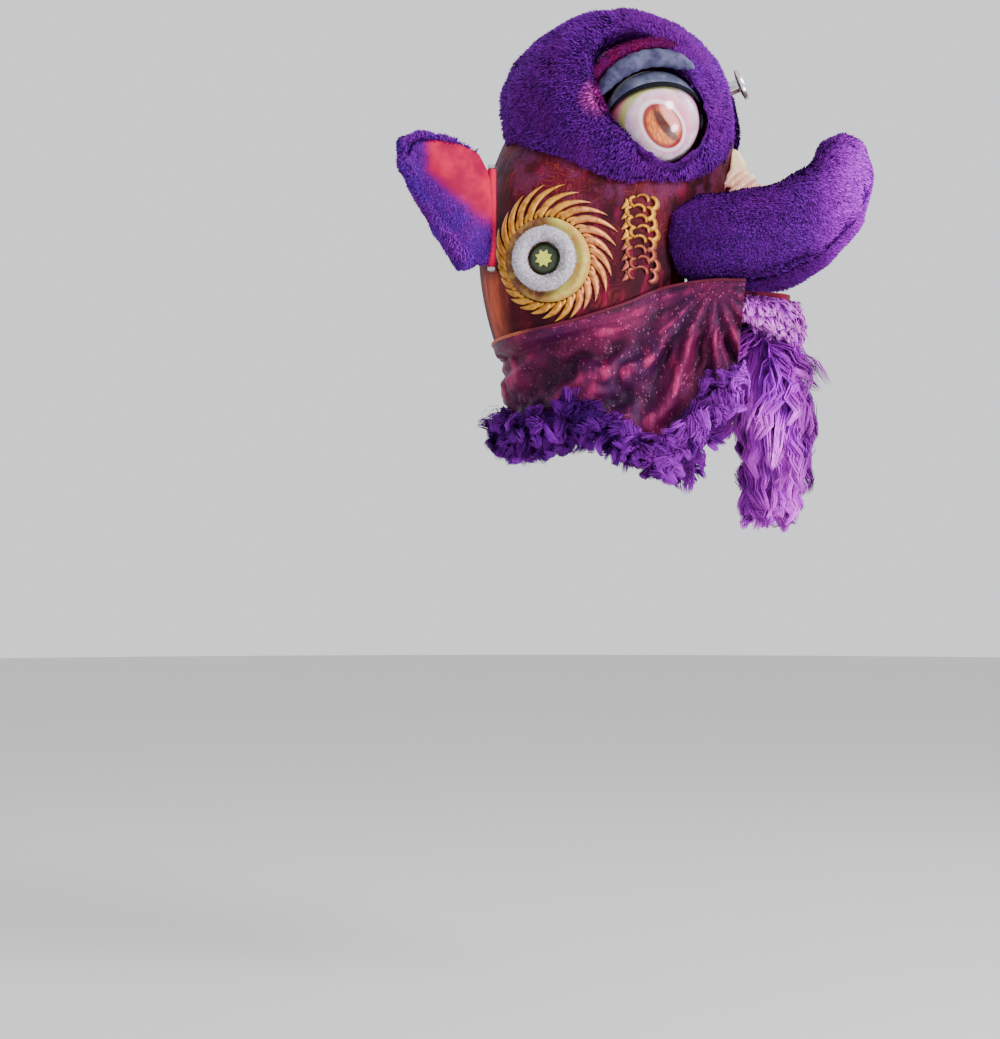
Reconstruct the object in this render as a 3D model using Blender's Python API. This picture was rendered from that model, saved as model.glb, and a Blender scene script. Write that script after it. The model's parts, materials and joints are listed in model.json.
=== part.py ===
# Lion dance head: a hollow shell with fur round the eyes, an upturned bill, a hinged jaw, ears and lids.
# Metres, +Z up. The lion looks along -Y, so "forward" below is -Y. The origin is the middle of the hand bar.

import math
from collections import namedtuple

import bmesh
import bpy
from mathutils import Vector

# Driving dimensions
WALL = 0.003
GAP = 0.0004
PIN_RADIUS = 0.005
PIN_CLEARANCE = 0.0006

# Head form: level sections from the lower rim to the crown
Section = namedtuple("Section", "height half_width front back")
FORM = (
    Section(-0.150, 0.222, 0.060, -0.250),
    Section(-0.050, 0.246, 0.104, -0.280),
    Section(0.040, 0.255, 0.137, -0.294),
    Section(0.130, 0.248, 0.158, -0.292),
    Section(0.210, 0.229, 0.168, -0.272),
    Section(0.285, 0.204, 0.174, -0.240),
    Section(0.350, 0.168, 0.169, -0.196),
    Section(0.400, 0.124, 0.150, -0.146),
    Section(0.432, 0.074, 0.110, -0.086),
    Section(0.446, 0.022, 0.050, -0.020),
)
CROWN_HEIGHT = 0.448
SQUARENESS = 2.4
TAPER = 0.16
FORM_AROUND = 24
FORM_ROWS = 9

# Rim and mouth opening
RIM_AT_ORIGIN = -0.062
RIM_SLOPE = 0.224
CHEEK_FRONT = 0.070
MOUTH_TOP = 0.064

# Eyes
EYE_HEIGHT = 0.285
EYE_FORWARD = 0.040
EYE_ACROSS = 0.180
EYE_TURN = math.radians(22)
BALL_RADIUS = 0.082
SOCKET_RADIUS = 0.098
LID_INNER = 0.0865
LID_OUTER = 0.0895
LID_LOW = math.radians(38)
LID_HIGH = math.radians(100)
LID_REACH = math.radians(83)
LID_PIN_RADIUS = 0.004

# Brow fur, in the plane of its own ring
BROW_CENTRE = (0.187, -0.0145, 0.3325)
BROW_TURN = math.radians(12)
BROW_TILT = math.radians(15)
BROW_OUTER = (0.2215, 0.1965)
BROW_HOLE = (0.099, 0.067)
BROW_HOLE_TILT = math.radians(-61)
BROW_HOLE_CENTRE = (0.0300, -0.0085)
BROW_FALL = 2.1
BROW_MOST_HEIGHT = 0.058
BROW_LIP = 0.050
BROW_FULLNESS = 0.8
LID_ROOM_RADIUS = 0.0950

# Bill and the fur roll on its edge, right half from the mouth corner to the middle of the front
BillRow = namedtuple("BillRow", "across forward height radius")
BILL_PATH = (
    BillRow(0.154, 0.085, 0.079, 0.078),
    BillRow(0.166, 0.150, 0.079, 0.086),
    BillRow(0.165, 0.220, 0.084, 0.088),
    BillRow(0.150, 0.283, 0.104, 0.091),
    BillRow(0.116, 0.333, 0.137, 0.092),
    BillRow(0.064, 0.364, 0.182, 0.084),
    BillRow(0.000, 0.372, 0.214, 0.079),
)
BILL_ROLL_FLATNESS = 0.76
BILL_THICKNESS = 0.004

# Cheek ornament
CHEEK_FORWARD = -0.141
CHEEK_HEIGHT = 0.033
CHEEK_TURN = math.radians(-6)
BOSS_RADIUS = 0.0745
BOSS_HEIGHT = 0.012
RING_MAJOR = 0.0435
RING_MINOR = 0.0150
FLAME_COUNT = 13
FLAME_THICKNESS = 0.003
FlameLength = namedtuple("FlameLength", "length")
FLAME_LENGTHS = tuple(FlameLength(x) for x in (0.034, 0.050, 0.048, 0.020, 0.004, 0.004, 0.006, 0.026, 0.034))
FLAME_TURNS = len(FLAME_LENGTHS) - 1

# Ears
EAR_ROD = (0.236, -0.243)
EAR_ROD_LOW = 0.016
EAR_ROD_HIGH = 0.206
EAR_ROD_RADIUS = 0.004
EAR_ROOT_HEIGHT = 0.106
EAR_TIP = (0.322, -0.392, 0.236)

# Jaw
JAW_HINGE_FORWARD = 0.055
JAW_HINGE_HEIGHT = -0.012
JAW_CENTRE = 0.151
JAW_HALF_LENGTH = 0.126
JAW_HALF_WIDTH = 0.116
JAW_DEPTH = 0.052
JAW_RIM = -0.014

# Neck cloth: top edge and hem on one side, from the middle of the back to the front edge
ClothRow = namedtuple("ClothRow", "across forward top hem_across hem_forward hem")
CLOTH = (
    ClothRow(0.000, -0.250, -0.106, 0.000, -0.236, -0.248),
    ClothRow(0.105, -0.235, -0.104, 0.095, -0.226, -0.262),
    ClothRow(0.180, -0.180, -0.094, 0.178, -0.183, -0.258),
    ClothRow(0.220, -0.100, -0.074, 0.220, -0.095, -0.234),
    ClothRow(0.212, -0.015, -0.044, 0.220, -0.010, -0.282),
    ClothRow(0.196, 0.060, -0.014, 0.210, 0.060, -0.312),
    ClothRow(0.195, 0.140, -0.001, 0.204, 0.130, -0.235),
    ClothRow(0.190, 0.205, -0.001, 0.197, 0.190, -0.170),
)
CLOTH_WALL = 0.002
CLOTH_FOLD_DEPTH = 0.011
HEM_FUR_RADIUS = 0.032
HEM_FUR_FLATNESS = 0.85
HEM_STEPS = 24


# Small tools

def place(across, forward, height):
    return Vector((across, -forward, height))


def smooth(rows, step):
    """A row read between two rows of a table, on a curve through all of them."""
    last = len(rows) - 1
    step = min(max(step, 0.0), float(last))
    i = min(int(step), last - 1)
    t = step - i
    a, b, c, d = (rows[min(max(k, 0), last)] for k in (i - 1, i, i + 1, i + 2))
    values = [
        0.5 * (2 * q + (r - p) * t + (2 * p - 5 * q + 4 * r - s) * t * t + (3 * q - p - 3 * r + s) * t ** 3)
        for p, q, r, s in zip(a, b, c, d)
    ]
    return type(rows[0])(*values)


def signed_power(value, exponent):
    return math.copysign(abs(value) ** exponent, value)


def material(name, colour, roughness, metallic=0.0):
    made = bpy.data.materials.new(name)
    made.use_nodes = True
    shader = made.node_tree.nodes["Principled BSDF"]
    shader.inputs["Base Color"].default_value = (*colour, 1.0)
    shader.inputs["Roughness"].default_value = roughness
    shader.inputs["Metallic"].default_value = metallic
    return made


def add_object(name, points, faces, finish=None):
    """A closed mesh object with its faces pointing out. Without a finish it is a cutter and isn't rendered."""
    mesh = bpy.data.meshes.new(name)
    shape = bmesh.new()
    corners = [shape.verts.new(p) for p in points]
    for face in faces:
        shape.faces.new([corners[i] for i in face])
    bmesh.ops.recalc_face_normals(shape, faces=shape.faces)
    shape.to_mesh(mesh)
    shape.free()
    mesh.shade_smooth()
    mesh.set_sharp_from_angle(angle=math.radians(40))
    made = bpy.data.objects.new(name, mesh)
    bpy.context.scene.collection.objects.link(made)
    if finish is None:
        made.hide_render = True
        made.display_type = "WIRE"
    else:
        mesh.materials.append(finish)
    return made


def boolean(target, operation, other, touching=False):
    """Cut, join or cross with another object; touching is for a shape that meets itself along a line."""
    change = target.modifiers.new(f"{operation.lower()} {other.name}", "BOOLEAN")
    change.operation = operation
    change.object = other
    change.use_self = touching
    return target


def mirror_copy(name, source):
    """The left-hand piece: the finished right-hand one turned about the middle plane."""
    finished = source.evaluated_get(bpy.context.evaluated_depsgraph_get())
    mesh = bpy.data.meshes.new_from_object(finished)
    mesh.name = name
    shape = bmesh.new()
    shape.from_mesh(mesh)
    for corner in shape.verts:
        corner.co.x = -corner.co.x
    bmesh.ops.reverse_faces(shape, faces=shape.faces)
    shape.to_mesh(mesh)
    shape.free()
    copy = bpy.data.objects.new(name, mesh)
    bpy.context.scene.collection.objects.link(copy)
    return copy


def loft(rings, start="cap", end="cap", turn_from=None):
    """Points and faces of a skin through rings of equal length. An end is a cap or a point.
    With turn_from the faces are triangles, and their diagonals run the other way from that place on."""
    count = len(rings[0])
    points = [p for ring in rings for p in ring]
    faces = []
    for r in range(len(rings) - 1):
        for i in range(count):
            j = (i + 1) % count
            a, b, c, d = r * count + i, r * count + j, (r + 1) * count + j, (r + 1) * count + i
            if turn_from is None:
                faces.append((a, b, c, d))
            else:
                faces += [(a, b, c), (a, c, d)] if i < turn_from else [(a, b, d), (b, c, d)]
    for kind, first in ((start, 0), (end, (len(rings) - 1) * count)):
        loop = list(range(first, first + count))
        if kind == "cap":
            faces.append(tuple(loop))
        else:
            points.append(kind)
            tip = len(points) - 1
            faces.extend((loop[i], loop[(i + 1) % count], tip) for i in range(count))
    return points, faces


def ring_about(centre, first, second, count, turn=0.0):
    """A closed ring round a centre; first and second are its two half-axes."""
    return [
        centre + first * math.cos(turn + math.tau * i / count) + second * math.sin(turn + math.tau * i / count)
        for i in range(count)
    ]


def cylinder(name, start, end, radius, sides, finish=None):
    axis = (end - start).normalized()
    side = axis.orthogonal().normalized() * radius
    up = axis.cross(side)
    rings = [ring_about(start, side, up, sides), ring_about(end, side, up, sides)]
    return add_object(name, *loft(rings), finish)


def ellipsoid_skin(centre, along, first, second, sides, rows):
    """A ball or an egg: along is the half-axis through its poles."""
    rings = []
    for row in range(1, rows):
        angle = math.pi * row / rows
        shrink = math.sin(angle)
        rings.append(ring_about(centre - along * math.cos(angle), first * shrink, second * shrink, sides))
    return loft(rings, centre - along, centre + along)


def fur_roll(name, path, sides, finish, lock=0.0, grow=0.0, end_length=0.035, upright=True):
    """A roll of fur along a path of (centre, half-height, half-depth), with rounded ends and low locks."""
    rings = []
    last = len(path) - 1
    for i, (centre, tall, deep) in enumerate(path):
        tangent = (path[min(i + 1, last)][0] - path[max(i - 1, 0)][0]).normalized()
        side = tangent.cross(Vector((0, 0, 1))).normalized()
        up = Vector((0, 0, 1)) if upright else side.cross(tangent).normalized()
        swell = 1 + lock * (1 if i % 2 else -1)
        rings.append((centre, side * (deep * swell + grow), up * (tall * swell + grow), tangent))
    first, final = rings[0], rings[-1]
    rounded = []
    for share in (0.55, 0.86):
        back = first[0] - first[3] * (end_length * math.sqrt(1 - share * share))
        rounded.append(ring_about(back, first[1] * share, first[2] * share, sides))
    rounded += [ring_about(centre, deep, tall, sides) for centre, deep, tall, _ in rings]
    for share in (0.86, 0.55):
        ahead = final[0] + final[3] * (end_length * math.sqrt(1 - share * share))
        rounded.append(ring_about(ahead, final[1] * share, final[2] * share, sides))
    tips = (first[0] - first[3] * (end_length + grow), final[0] + final[3] * (end_length + grow))
    return add_object(name, *loft(rounded, *tips), finish)


# Head form and shell

def form_level(height):
    """The form's section at a height."""
    low, high = 0.0, float(len(FORM) - 1)
    for _ in range(40):
        middle = (low + high) / 2
        if smooth(FORM, middle).height < height:
            low = middle
        else:
            high = middle
    return smooth(FORM, low)


def form_across(forward, height):
    """How far out the form's side stands at a place seen from the side."""
    row = form_level(height)
    centre, reach = (row.front + row.back) / 2, (row.front - row.back) / 2
    share = min(max((forward - centre) / reach, -0.995), 0.995)
    bulge = (1 - abs(share) ** SQUARENESS) ** (1 / SQUARENESS)
    return row.half_width * (1 - TAPER * share) * bulge


def form_ring(row, grow, lift):
    centre, reach = (row.front + row.back) / 2, (row.front - row.back) / 2 + grow
    ring = []
    for i in range(FORM_AROUND):
        angle = math.tau * (i + 0.5) / FORM_AROUND
        share = -signed_power(math.cos(angle), 2 / SQUARENESS)
        across = (row.half_width + grow) * (1 - TAPER * share) * signed_power(math.sin(angle), 2 / SQUARENESS)
        ring.append(place(across, centre + reach * share, row.height + grow * lift))
    return ring


def form_solid(name, grow, finish=None, deepen=0.0):
    """The whole head form as one solid, grown or shrunk all over; deepen lengthens it below the rim."""
    rings = []
    last = len(FORM) - 1
    for i in range(FORM_ROWS + 1):
        step = last * i / FORM_ROWS
        rings.append(form_ring(smooth(FORM, step), grow, (step / last) ** 2))
    if deepen:
        rings.insert(0, [p - Vector((0, 0, deepen)) for p in rings[0]])
    crown = place(0, 0.015, CROWN_HEIGHT + grow)
    return add_object(name, *loft(rings, "cap", crown, FORM_AROUND // 2), finish)


def rim_height(forward):
    return RIM_AT_ORIGIN + RIM_SLOPE * forward


def opening_cutter():
    """Everything below the slanting rim, and the mouth's opening in front of the cheeks."""
    outline = (
        (-0.45, -0.40), (-0.45, rim_height(-0.45)), (CHEEK_FRONT, rim_height(CHEEK_FRONT)),
        (CHEEK_FRONT, MOUTH_TOP), (0.35, MOUTH_TOP), (0.35, -0.40),
    )
    rings = [[place(across, forward, height) for forward, height in outline] for across in (-0.45, 0.45)]
    return add_object("opening_cutter", *loft(rings))


def eye_frame(side):
    """Centre of the eyeball, the way it looks, and its lid's axis, which points forward."""
    centre = place(side * EYE_ACROSS, EYE_FORWARD, EYE_HEIGHT)
    look = place(side * math.cos(EYE_TURN), math.sin(EYE_TURN), 0)
    axis = place(-side * math.sin(EYE_TURN), math.cos(EYE_TURN), 0)
    return centre, look, axis


def eye_sphere(name, side, radius, finish=None):
    centre, look, axis = eye_frame(side)
    up = Vector((0, 0, 1))
    return add_object(name, *ellipsoid_skin(centre, axis * radius, look * radius, up * radius, 13, 8), finish)


def make_shell(finish):
    shell = form_solid("head_shell", 0.0, finish)
    hollow = form_solid("hollow_cutter", -WALL, deepen=0.05)
    for side, name in ((-1, "right"), (1, "left")):
        boolean(shell, "DIFFERENCE", eye_sphere(f"socket_cutter_{name}", side, SOCKET_RADIUS))
        boolean(hollow, "DIFFERENCE", eye_sphere(f"socket_wall_{name}", side, SOCKET_RADIUS + WALL))
    boolean(shell, "DIFFERENCE", hollow)
    boolean(shell, "DIFFERENCE", opening_cutter())
    return shell


# Eyes and lids

def make_eye(side, name, finish):
    centre, look, axis = eye_frame(side)
    ball = eye_sphere(f"eyeball_{name}", side, BALL_RADIUS, finish)
    pin_end = axis * LID_OUTER
    pin = cylinder(f"lid_pin_{name}", centre - pin_end, centre + pin_end, LID_PIN_RADIUS, 8)
    post = cylinder(f"eye_post_{name}", centre - look * 0.05, centre - look * 0.12, 0.018, 8)
    boolean(ball, "UNION", pin)
    boolean(ball, "UNION", post)
    boolean(ball, "INTERSECT", eye_sphere(f"socket_room_{name}", side, SOCKET_RADIUS - GAP))
    return ball


def make_lid(side, name, finish):
    """A strip of a ball over the eye, with a bored boss at each end that turns on the eye's pins."""
    centre, look, axis = eye_frame(side)
    up = Vector((0, 0, 1))
    along_steps, round_steps = 9, 3
    rings = []
    for i in range(along_steps + 1):
        reach = LID_REACH * (2 * i / along_steps - 1)
        ring = []
        for radius, order in ((LID_OUTER, range(round_steps + 1)), (LID_INNER, range(round_steps, -1, -1))):
            for k in order:
                turn = LID_LOW + (LID_HIGH - LID_LOW) * k / round_steps
                across = look * math.cos(turn) + up * math.sin(turn)
                ring.append(centre + (axis * math.sin(reach) + across * math.cos(reach)) * radius)
        rings.append(ring)
    lid = add_object(f"eyelid_{name}", *loft(rings), finish)
    for end in (-1, 1):
        near, far = centre + axis * (end * 0.0850), centre + axis * (end * 0.0890)
        boolean(lid, "UNION", cylinder(f"lid_boss_{name}_{end}", near, far, 0.0125, 6))
    drill = centre + axis * 0.12, centre - axis * 0.12
    boolean(lid, "DIFFERENCE", cylinder(f"lid_drill_{name}", *drill, LID_PIN_RADIUS + PIN_CLEARANCE, 8))
    return lid


# Brow fur

def hole_reach(angle):
    """How far the tilted oval hole reaches from its centre at an angle."""
    turn = angle - BROW_HOLE_TILT
    long, short = BROW_HOLE
    return long * short / math.hypot(short * math.cos(turn), long * math.sin(turn))


def make_brow_fur(side, name, finish, form):
    """A thick pad of fur round the eye, wide behind it and narrow in front, laid on the dome."""
    centre = place(side * BROW_CENTRE[0], BROW_CENTRE[1], BROW_CENTRE[2])
    out = place(side * math.cos(BROW_TURN) * math.cos(BROW_TILT),
                math.sin(BROW_TURN) * math.cos(BROW_TILT), math.sin(BROW_TILT))
    ahead = place(-side * math.sin(BROW_TURN), math.cos(BROW_TURN), 0)
    up = place(-side * math.cos(BROW_TURN) * math.sin(BROW_TILT),
               -math.sin(BROW_TURN) * math.sin(BROW_TILT), math.cos(BROW_TILT))
    stations, around = 24, 8
    points, faces = [], []
    for i in range(stations):
        angle = math.tau * i / stations
        outer = Vector((BROW_OUTER[0] * math.cos(angle), BROW_OUTER[1] * math.sin(angle)))
        inner = Vector(BROW_HOLE_CENTRE) + hole_reach(angle) * Vector((math.cos(angle), math.sin(angle)))
        width = (outer - inner).length
        height = min(0.026 + 0.30 * width, BROW_MOST_HEIGHT) * (1.02 if i % 2 else 0.98)
        for k in range(around):
            turn = math.tau * k / around
            spot = inner.lerp(outer, 0.5 + 0.5 * math.cos(turn))
            rise = height * signed_power(math.sin(turn), BROW_FULLNESS) + BROW_LIP * (0.5 - 0.5 * math.cos(turn))
            lift = rise - BROW_FALL * spot.length_squared
            points.append(centre + ahead * spot.x + up * spot.y + out * lift)
    for i in range(stations):
        for k in range(around):
            j, m = (i + 1) % stations, (k + 1) % around
            faces.append((i * around + k, j * around + k, j * around + m, i * around + m))
    pad = add_object(f"brow_fur_{name}", points, faces, finish)
    boolean(pad, "DIFFERENCE", form)
    return boolean(pad, "DIFFERENCE", eye_sphere(f"lid_room_{name}", side, LID_ROOM_RADIUS))


# Bill, its fur roll, and the nose

def bill_path(count):
    """Stations along the whole U of the bill's edge, from the right corner round to the left."""
    right = [BillRow(-row.across, *row[1:]) for row in BILL_PATH]
    rows = right + list(reversed(BILL_PATH[:-1]))
    stations = []
    for i in range(count + 1):
        row = smooth(rows, (len(rows) - 1) * i / count)
        stations.append((place(row.across, row.forward, row.height), row.radius))
    return stations


def make_bill(name, finish, grow=0.0):
    """A thin plate inside the roll: it starts on the head's front and curls up ahead of the nose."""
    last = len(BILL_PATH) - 1
    rings = []
    for i in range(9):
        row = smooth(BILL_PATH, last * i / 9.6)
        half = row.across + grow
        upper, lower = row.height + grow + 0.5 * BILL_THICKNESS, row.height - grow - 0.5 * BILL_THICKNESS
        outline = []
        for height, order in ((upper, (-1, 0, 1)), (lower, (1, 0, -1))):
            outline += [place(half * share, row.forward, height) for share in order]
        rings.append(outline)
    return add_object(name, *loft(rings), finish)


def make_bill_fur(finish, front_room):
    path = [(centre, radius, radius * BILL_ROLL_FLATNESS) for centre, radius in bill_path(22)]
    roll = fur_roll("bill_fur", path, 8, finish, lock=0.012)
    return boolean(roll, "DIFFERENCE", front_room)


def make_nose(finish, front_room):
    """A bulb with two wings, and three wrinkles that run over the bridge and back along its sides."""
    up = Vector((0, 0, 1))
    bulb = ellipsoid_skin(place(0, 0.212, 0.138), place(0.056, 0, 0), place(0, 0.052, 0), up * 0.050, 9, 6)
    nose = add_object("nose", *bulb, finish)
    bridge = ellipsoid_skin(place(0, 0.165, 0.190), up * 0.072, place(0, 0.040, 0), place(0.046, 0, 0), 9, 6)
    boolean(nose, "UNION", add_object("nose_bridge", *bridge))
    for side in (-1, 1):
        wing = ellipsoid_skin(place(side * 0.048, 0.196, 0.120), place(0, 0.040, 0),
                              place(0.031, 0, 0), up * 0.030, 7, 5)
        boolean(nose, "UNION", add_object(f"nose_wing_{side}", *wing))
    for number in range(3):
        path = []
        for i in range(6):
            angle = math.pi * (i / 5 - 0.5)
            across = (0.053 + 0.007 * number) * math.sin(angle)
            drop = (0.041 + 0.004 * number) * (1 - math.cos(angle))
            centre = place(across, 0.188 + 0.019 * number - 0.9 * drop, 0.222 - 0.019 * number - drop)
            path.append((centre, 0.0115, 0.0115))
        boolean(nose, "UNION", fur_roll(f"nose_wrinkle_{number}", path, 5, None, end_length=0.016, upright=False))
    return boolean(nose, "DIFFERENCE", front_room)


# Cheek ornament

def cheek_frame(side):
    across = form_across(CHEEK_FORWARD, CHEEK_HEIGHT)
    centre = place(side * across, CHEEK_FORWARD, CHEEK_HEIGHT)
    out = place(side * math.cos(CHEEK_TURN), math.sin(CHEEK_TURN), 0)
    ahead = place(-side * math.sin(CHEEK_TURN), math.cos(CHEEK_TURN), 0)
    return centre, out, ahead


def make_cheek_disc(side, name, gold, white, green, lime, form):
    centre, out, ahead = cheek_frame(side)
    up = Vector((0, 0, 1))
    top = centre + out * BOSS_HEIGHT
    rings = [ring_about(centre - out * 0.04, ahead * BOSS_RADIUS, up * BOSS_RADIUS, 18),
             ring_about(top - out * 0.003, ahead * BOSS_RADIUS, up * BOSS_RADIUS, 18),
             ring_about(top, ahead * (BOSS_RADIUS - 0.003), up * (BOSS_RADIUS - 0.003), 18)]
    boolean(add_object(f"cheek_boss_{name}", *loft(rings), gold), "DIFFERENCE", form)
    points, faces = [], []
    around, sides = 16, 6
    for i in range(around):
        spoke = ahead * math.cos(math.tau * i / around) + up * math.sin(math.tau * i / around)
        for k in range(sides):
            turn = math.tau * (k + 0.5) / sides
            reach = RING_MAJOR + RING_MINOR * math.cos(turn)
            points.append(top + spoke * reach + out * (GAP + 0.0125 * (1 + math.sin(turn))))
            faces.append((i * sides + k, ((i + 1) % around) * sides + k,
                          ((i + 1) % around) * sides + (k + 1) % sides, i * sides + (k + 1) % sides))
    add_object(f"cheek_ring_{name}", points, faces, white)
    rings = [ring_about(top + out * (GAP + rise), ahead * reach, up * reach, 12)
             for rise, reach in ((0.0, 0.0275), (0.006, 0.0265), (0.011, 0.0225), (0.0135, 0.0175))]
    add_object(f"cheek_centre_{name}", *loft(rings), green)
    star_base = top + out * (0.0135 + 2 * GAP)
    rings = []
    for rise in (0.0, 0.003):
        ring = []
        for i in range(16):
            angle = math.tau * i / 16
            reach = 0.0165 if i % 2 else 0.0105
            ring.append(star_base + out * rise + (ahead * math.cos(angle) + up * math.sin(angle)) * reach)
        rings.append(ring)
    add_object(f"cheek_star_{name}", *loft(rings), lime)


def laid_plate(name, side, outline_points, faces, finish, clear=0.0009):
    """A thin plate that follows the cheek, from points given as (forward, height) seen from the side."""
    count = len(outline_points)
    points = []
    for lift in (clear, clear + FLAME_THICKNESS):
        for forward, height in outline_points:
            points.append(place(side * (form_across(forward, height) + lift), forward, height))
    both = list(faces) + [tuple(count + i for i in reversed(face)) for face in faces]
    edges = {}
    for face in faces:
        for a, b in zip(face, face[1:] + face[:1]):
            if (b, a) in edges:
                del edges[(b, a)]
            else:
                edges[(a, b)] = True
    both += [(b, a, count + a, count + b) for a, b in edges]
    return add_object(name, points, both, finish)


def make_flames(side, name, finish):
    """A ring round the disc with tongues that all lean the same way, like a pinwheel."""
    def spot(radius, angle):
        return CHEEK_FORWARD + radius * math.cos(angle), CHEEK_HEIGHT + radius * math.sin(angle)

    points, faces = [], []
    per_flame = 2
    around = per_flame * FLAME_COUNT
    inner, outer = BOSS_RADIUS + 0.0035, BOSS_RADIUS + 0.012
    for radius in (inner, outer):
        points += [spot(radius, math.tau * i / around) for i in range(around)]
    for i in range(around):
        j = (i + 1) % around
        faces.append((i, j, around + j, around + i))
    for flame in range(FLAME_COUNT):
        base = per_flame * flame
        angle = math.tau * (base + 0.5) / around
        length = smooth(FLAME_LENGTHS, FLAME_TURNS * (angle / math.tau)).length
        first = len(points)
        reach = outer + length * 0.55
        for half in (-1, 1):
            points.append(spot(reach, angle - 0.12 + half * 0.0075 / reach))
        points.append(spot(outer + length, angle - 0.34))
        left, right = around + base, around + base + 1
        faces.append((left, right, first + 1, first))
        faces.append((first, first + 1, first + 2))
    return laid_plate(f"cheek_flames_{name}", side, points, faces, finish)


def make_curls(side, name, finish):
    """A column of wave curls between the flames and the bill."""
    points, faces = [], []
    steps = 12
    for i in range(steps + 1):
        height = -0.008 + 0.152 * i / steps
        swell = 0.012 * abs(math.sin(math.pi * 4 * i / steps))
        middle = 0.016 + 0.012 * math.sin(math.pi * i / steps)
        points += [(middle - 0.012 - swell, height), (middle + 0.016 + 0.8 * swell, height)]
        if i:
            faces.append((2 * i - 2, 2 * i - 1, 2 * i + 1, 2 * i))
    return laid_plate(f"cheek_curls_{name}", side, points, faces, finish, clear=0.0018)


# Ears

def ear_frame(side):
    root = place(side * EAR_ROD[0], EAR_ROD[1], EAR_ROOT_HEIGHT)
    tip = place(side * EAR_TIP[0], EAR_TIP[1], EAR_TIP[2])
    level = Vector((tip.x - root.x, tip.y - root.y, 0)).normalized()
    out = level.cross(Vector((0, 0, 1))) * -side
    return root, tip, out


def ear_point(side, along, rise, deep=0.0):
    """A place on the ear's leaf: along from root 0 to tip 1, rise from its lower edge -1 to its upper 1."""
    root, tip, out = ear_frame(side)
    half = (0.092 * (1 - along ** 1.7) + 0.010) * (0.70 + 0.30 * min(along / 0.15, 1.0))
    cup = 0.022 * (1 - rise * rise) * math.sin(math.pi * min(along + 0.15, 1.0))
    spot = root.lerp(tip, along) + Vector((0, 0, half * rise))
    return spot - out * (cup - deep)


def make_ear_leaf(name, side, finish, grow=0.0):
    rings = []
    half_wall = 0.0015 + grow
    for i in range(8):
        along = 0.03 + 0.93 * i / 7 + (grow if i == 7 else 0)
        reach = 1 + grow * 12
        ring = [ear_point(side, along, reach * k, half_wall) for k in (-1, -0.5, 0, 0.5, 1)]
        ring += [ear_point(side, along, reach * k, -half_wall) for k in (1, 0.5, 0, -0.5, -1)]
        rings.append(ring)
    return add_object(name, *loft(rings, turn_from=10), finish)


def make_ear(side, name, red, fur, metal, form):
    rod = [place(side * EAR_ROD[0], EAR_ROD[1], height) for height in (EAR_ROD_LOW, EAR_ROD_HIGH)]
    bracket = cylinder(f"ear_bracket_{name}", *rod, EAR_ROD_RADIUS, 8, metal)
    inward = place(-side, 0, 0)
    for number, height in enumerate((EAR_ROD_LOW + 0.004, EAR_ROD_HIGH - 0.004)):
        start = place(side * EAR_ROD[0], EAR_ROD[1], height) - inward * 0.009
        sideways = inward.cross(Vector((0, 0, 1))).normalized() * 0.009
        rings = [ring_about(start + inward * reach, sideways, Vector((0, 0, 0.0042)), 4, math.pi / 4)
                 for reach in (0.0, 0.050)]
        boolean(bracket, "UNION", add_object(f"ear_lug_{name}_{number}", *loft(rings)))
    boolean(bracket, "DIFFERENCE", form)

    barrel = [place(side * EAR_ROD[0], EAR_ROD[1], h) for h in (EAR_ROD_LOW + 0.0085, EAR_ROD_HIGH - 0.0085)]
    panel = make_ear_leaf(f"ear_panel_{name}", side, red)
    boolean(panel, "UNION", cylinder(f"ear_barrel_{name}", *barrel, 0.0078, 8))
    room = [place(side * EAR_ROD[0], EAR_ROD[1], h) for h in (EAR_ROD_LOW - 0.05, EAR_ROD_HIGH + 0.05)]
    drill = cylinder(f"ear_drill_{name}", *room, EAR_ROD_RADIUS + PIN_CLEARANCE, 8)
    boolean(panel, "DIFFERENCE", drill)

    path = []
    steps = 13
    for i in range(steps + 1):
        share = i / steps
        if share < 0.62:
            along, rise = 0.20 + 0.74 * share / 0.62, -1.0
            radius = 0.034 - 0.014 * share / 0.62
        else:
            along = 0.94 - 0.76 * (share - 0.70) / 0.30 if share > 0.70 else 0.96
            rise = min(1.0, -1 + 2 * (share - 0.62) / 0.10)
            radius = 0.020 - 0.012 * (share - 0.62) / 0.38
        _, _, out = ear_frame(side)
        centre = ear_point(side, along, rise, 0.6 * radius if rise < 0 else 0.0)
        path.append((centre, radius, radius * 0.9))
    roll = make_ear_roll(f"ear_fur_{name}", path, fur)
    return boolean(roll, "DIFFERENCE", make_ear_leaf(f"ear_room_{name}", side, None, grow=GAP))


def make_ear_roll(name, path, finish):
    """Like fur_roll, for a path that turns up and back on itself in the ear's own plane."""
    sides = 6
    last = len(path) - 1
    normal = (path[0][0] - path[last // 2][0]).cross(path[last][0] - path[last // 2][0]).normalized()
    rings = []
    for i, (centre, tall, deep) in enumerate(path):
        tangent = (path[min(i + 1, last)][0] - path[max(i - 1, 0)][0]).normalized()
        side = tangent.cross(normal).normalized()
        rings.append(ring_about(centre, side * tall, side.cross(tangent).normalized() * deep, sides))
    start = path[0][0] + (path[0][0] - path[1][0]).normalized() * path[0][1] * 0.6
    end = path[last][0] + (path[last][0] - path[last - 1][0]).normalized() * path[last][1]
    return add_object(name, *loft(rings, start, end), finish)


# Forehead mirror

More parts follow.
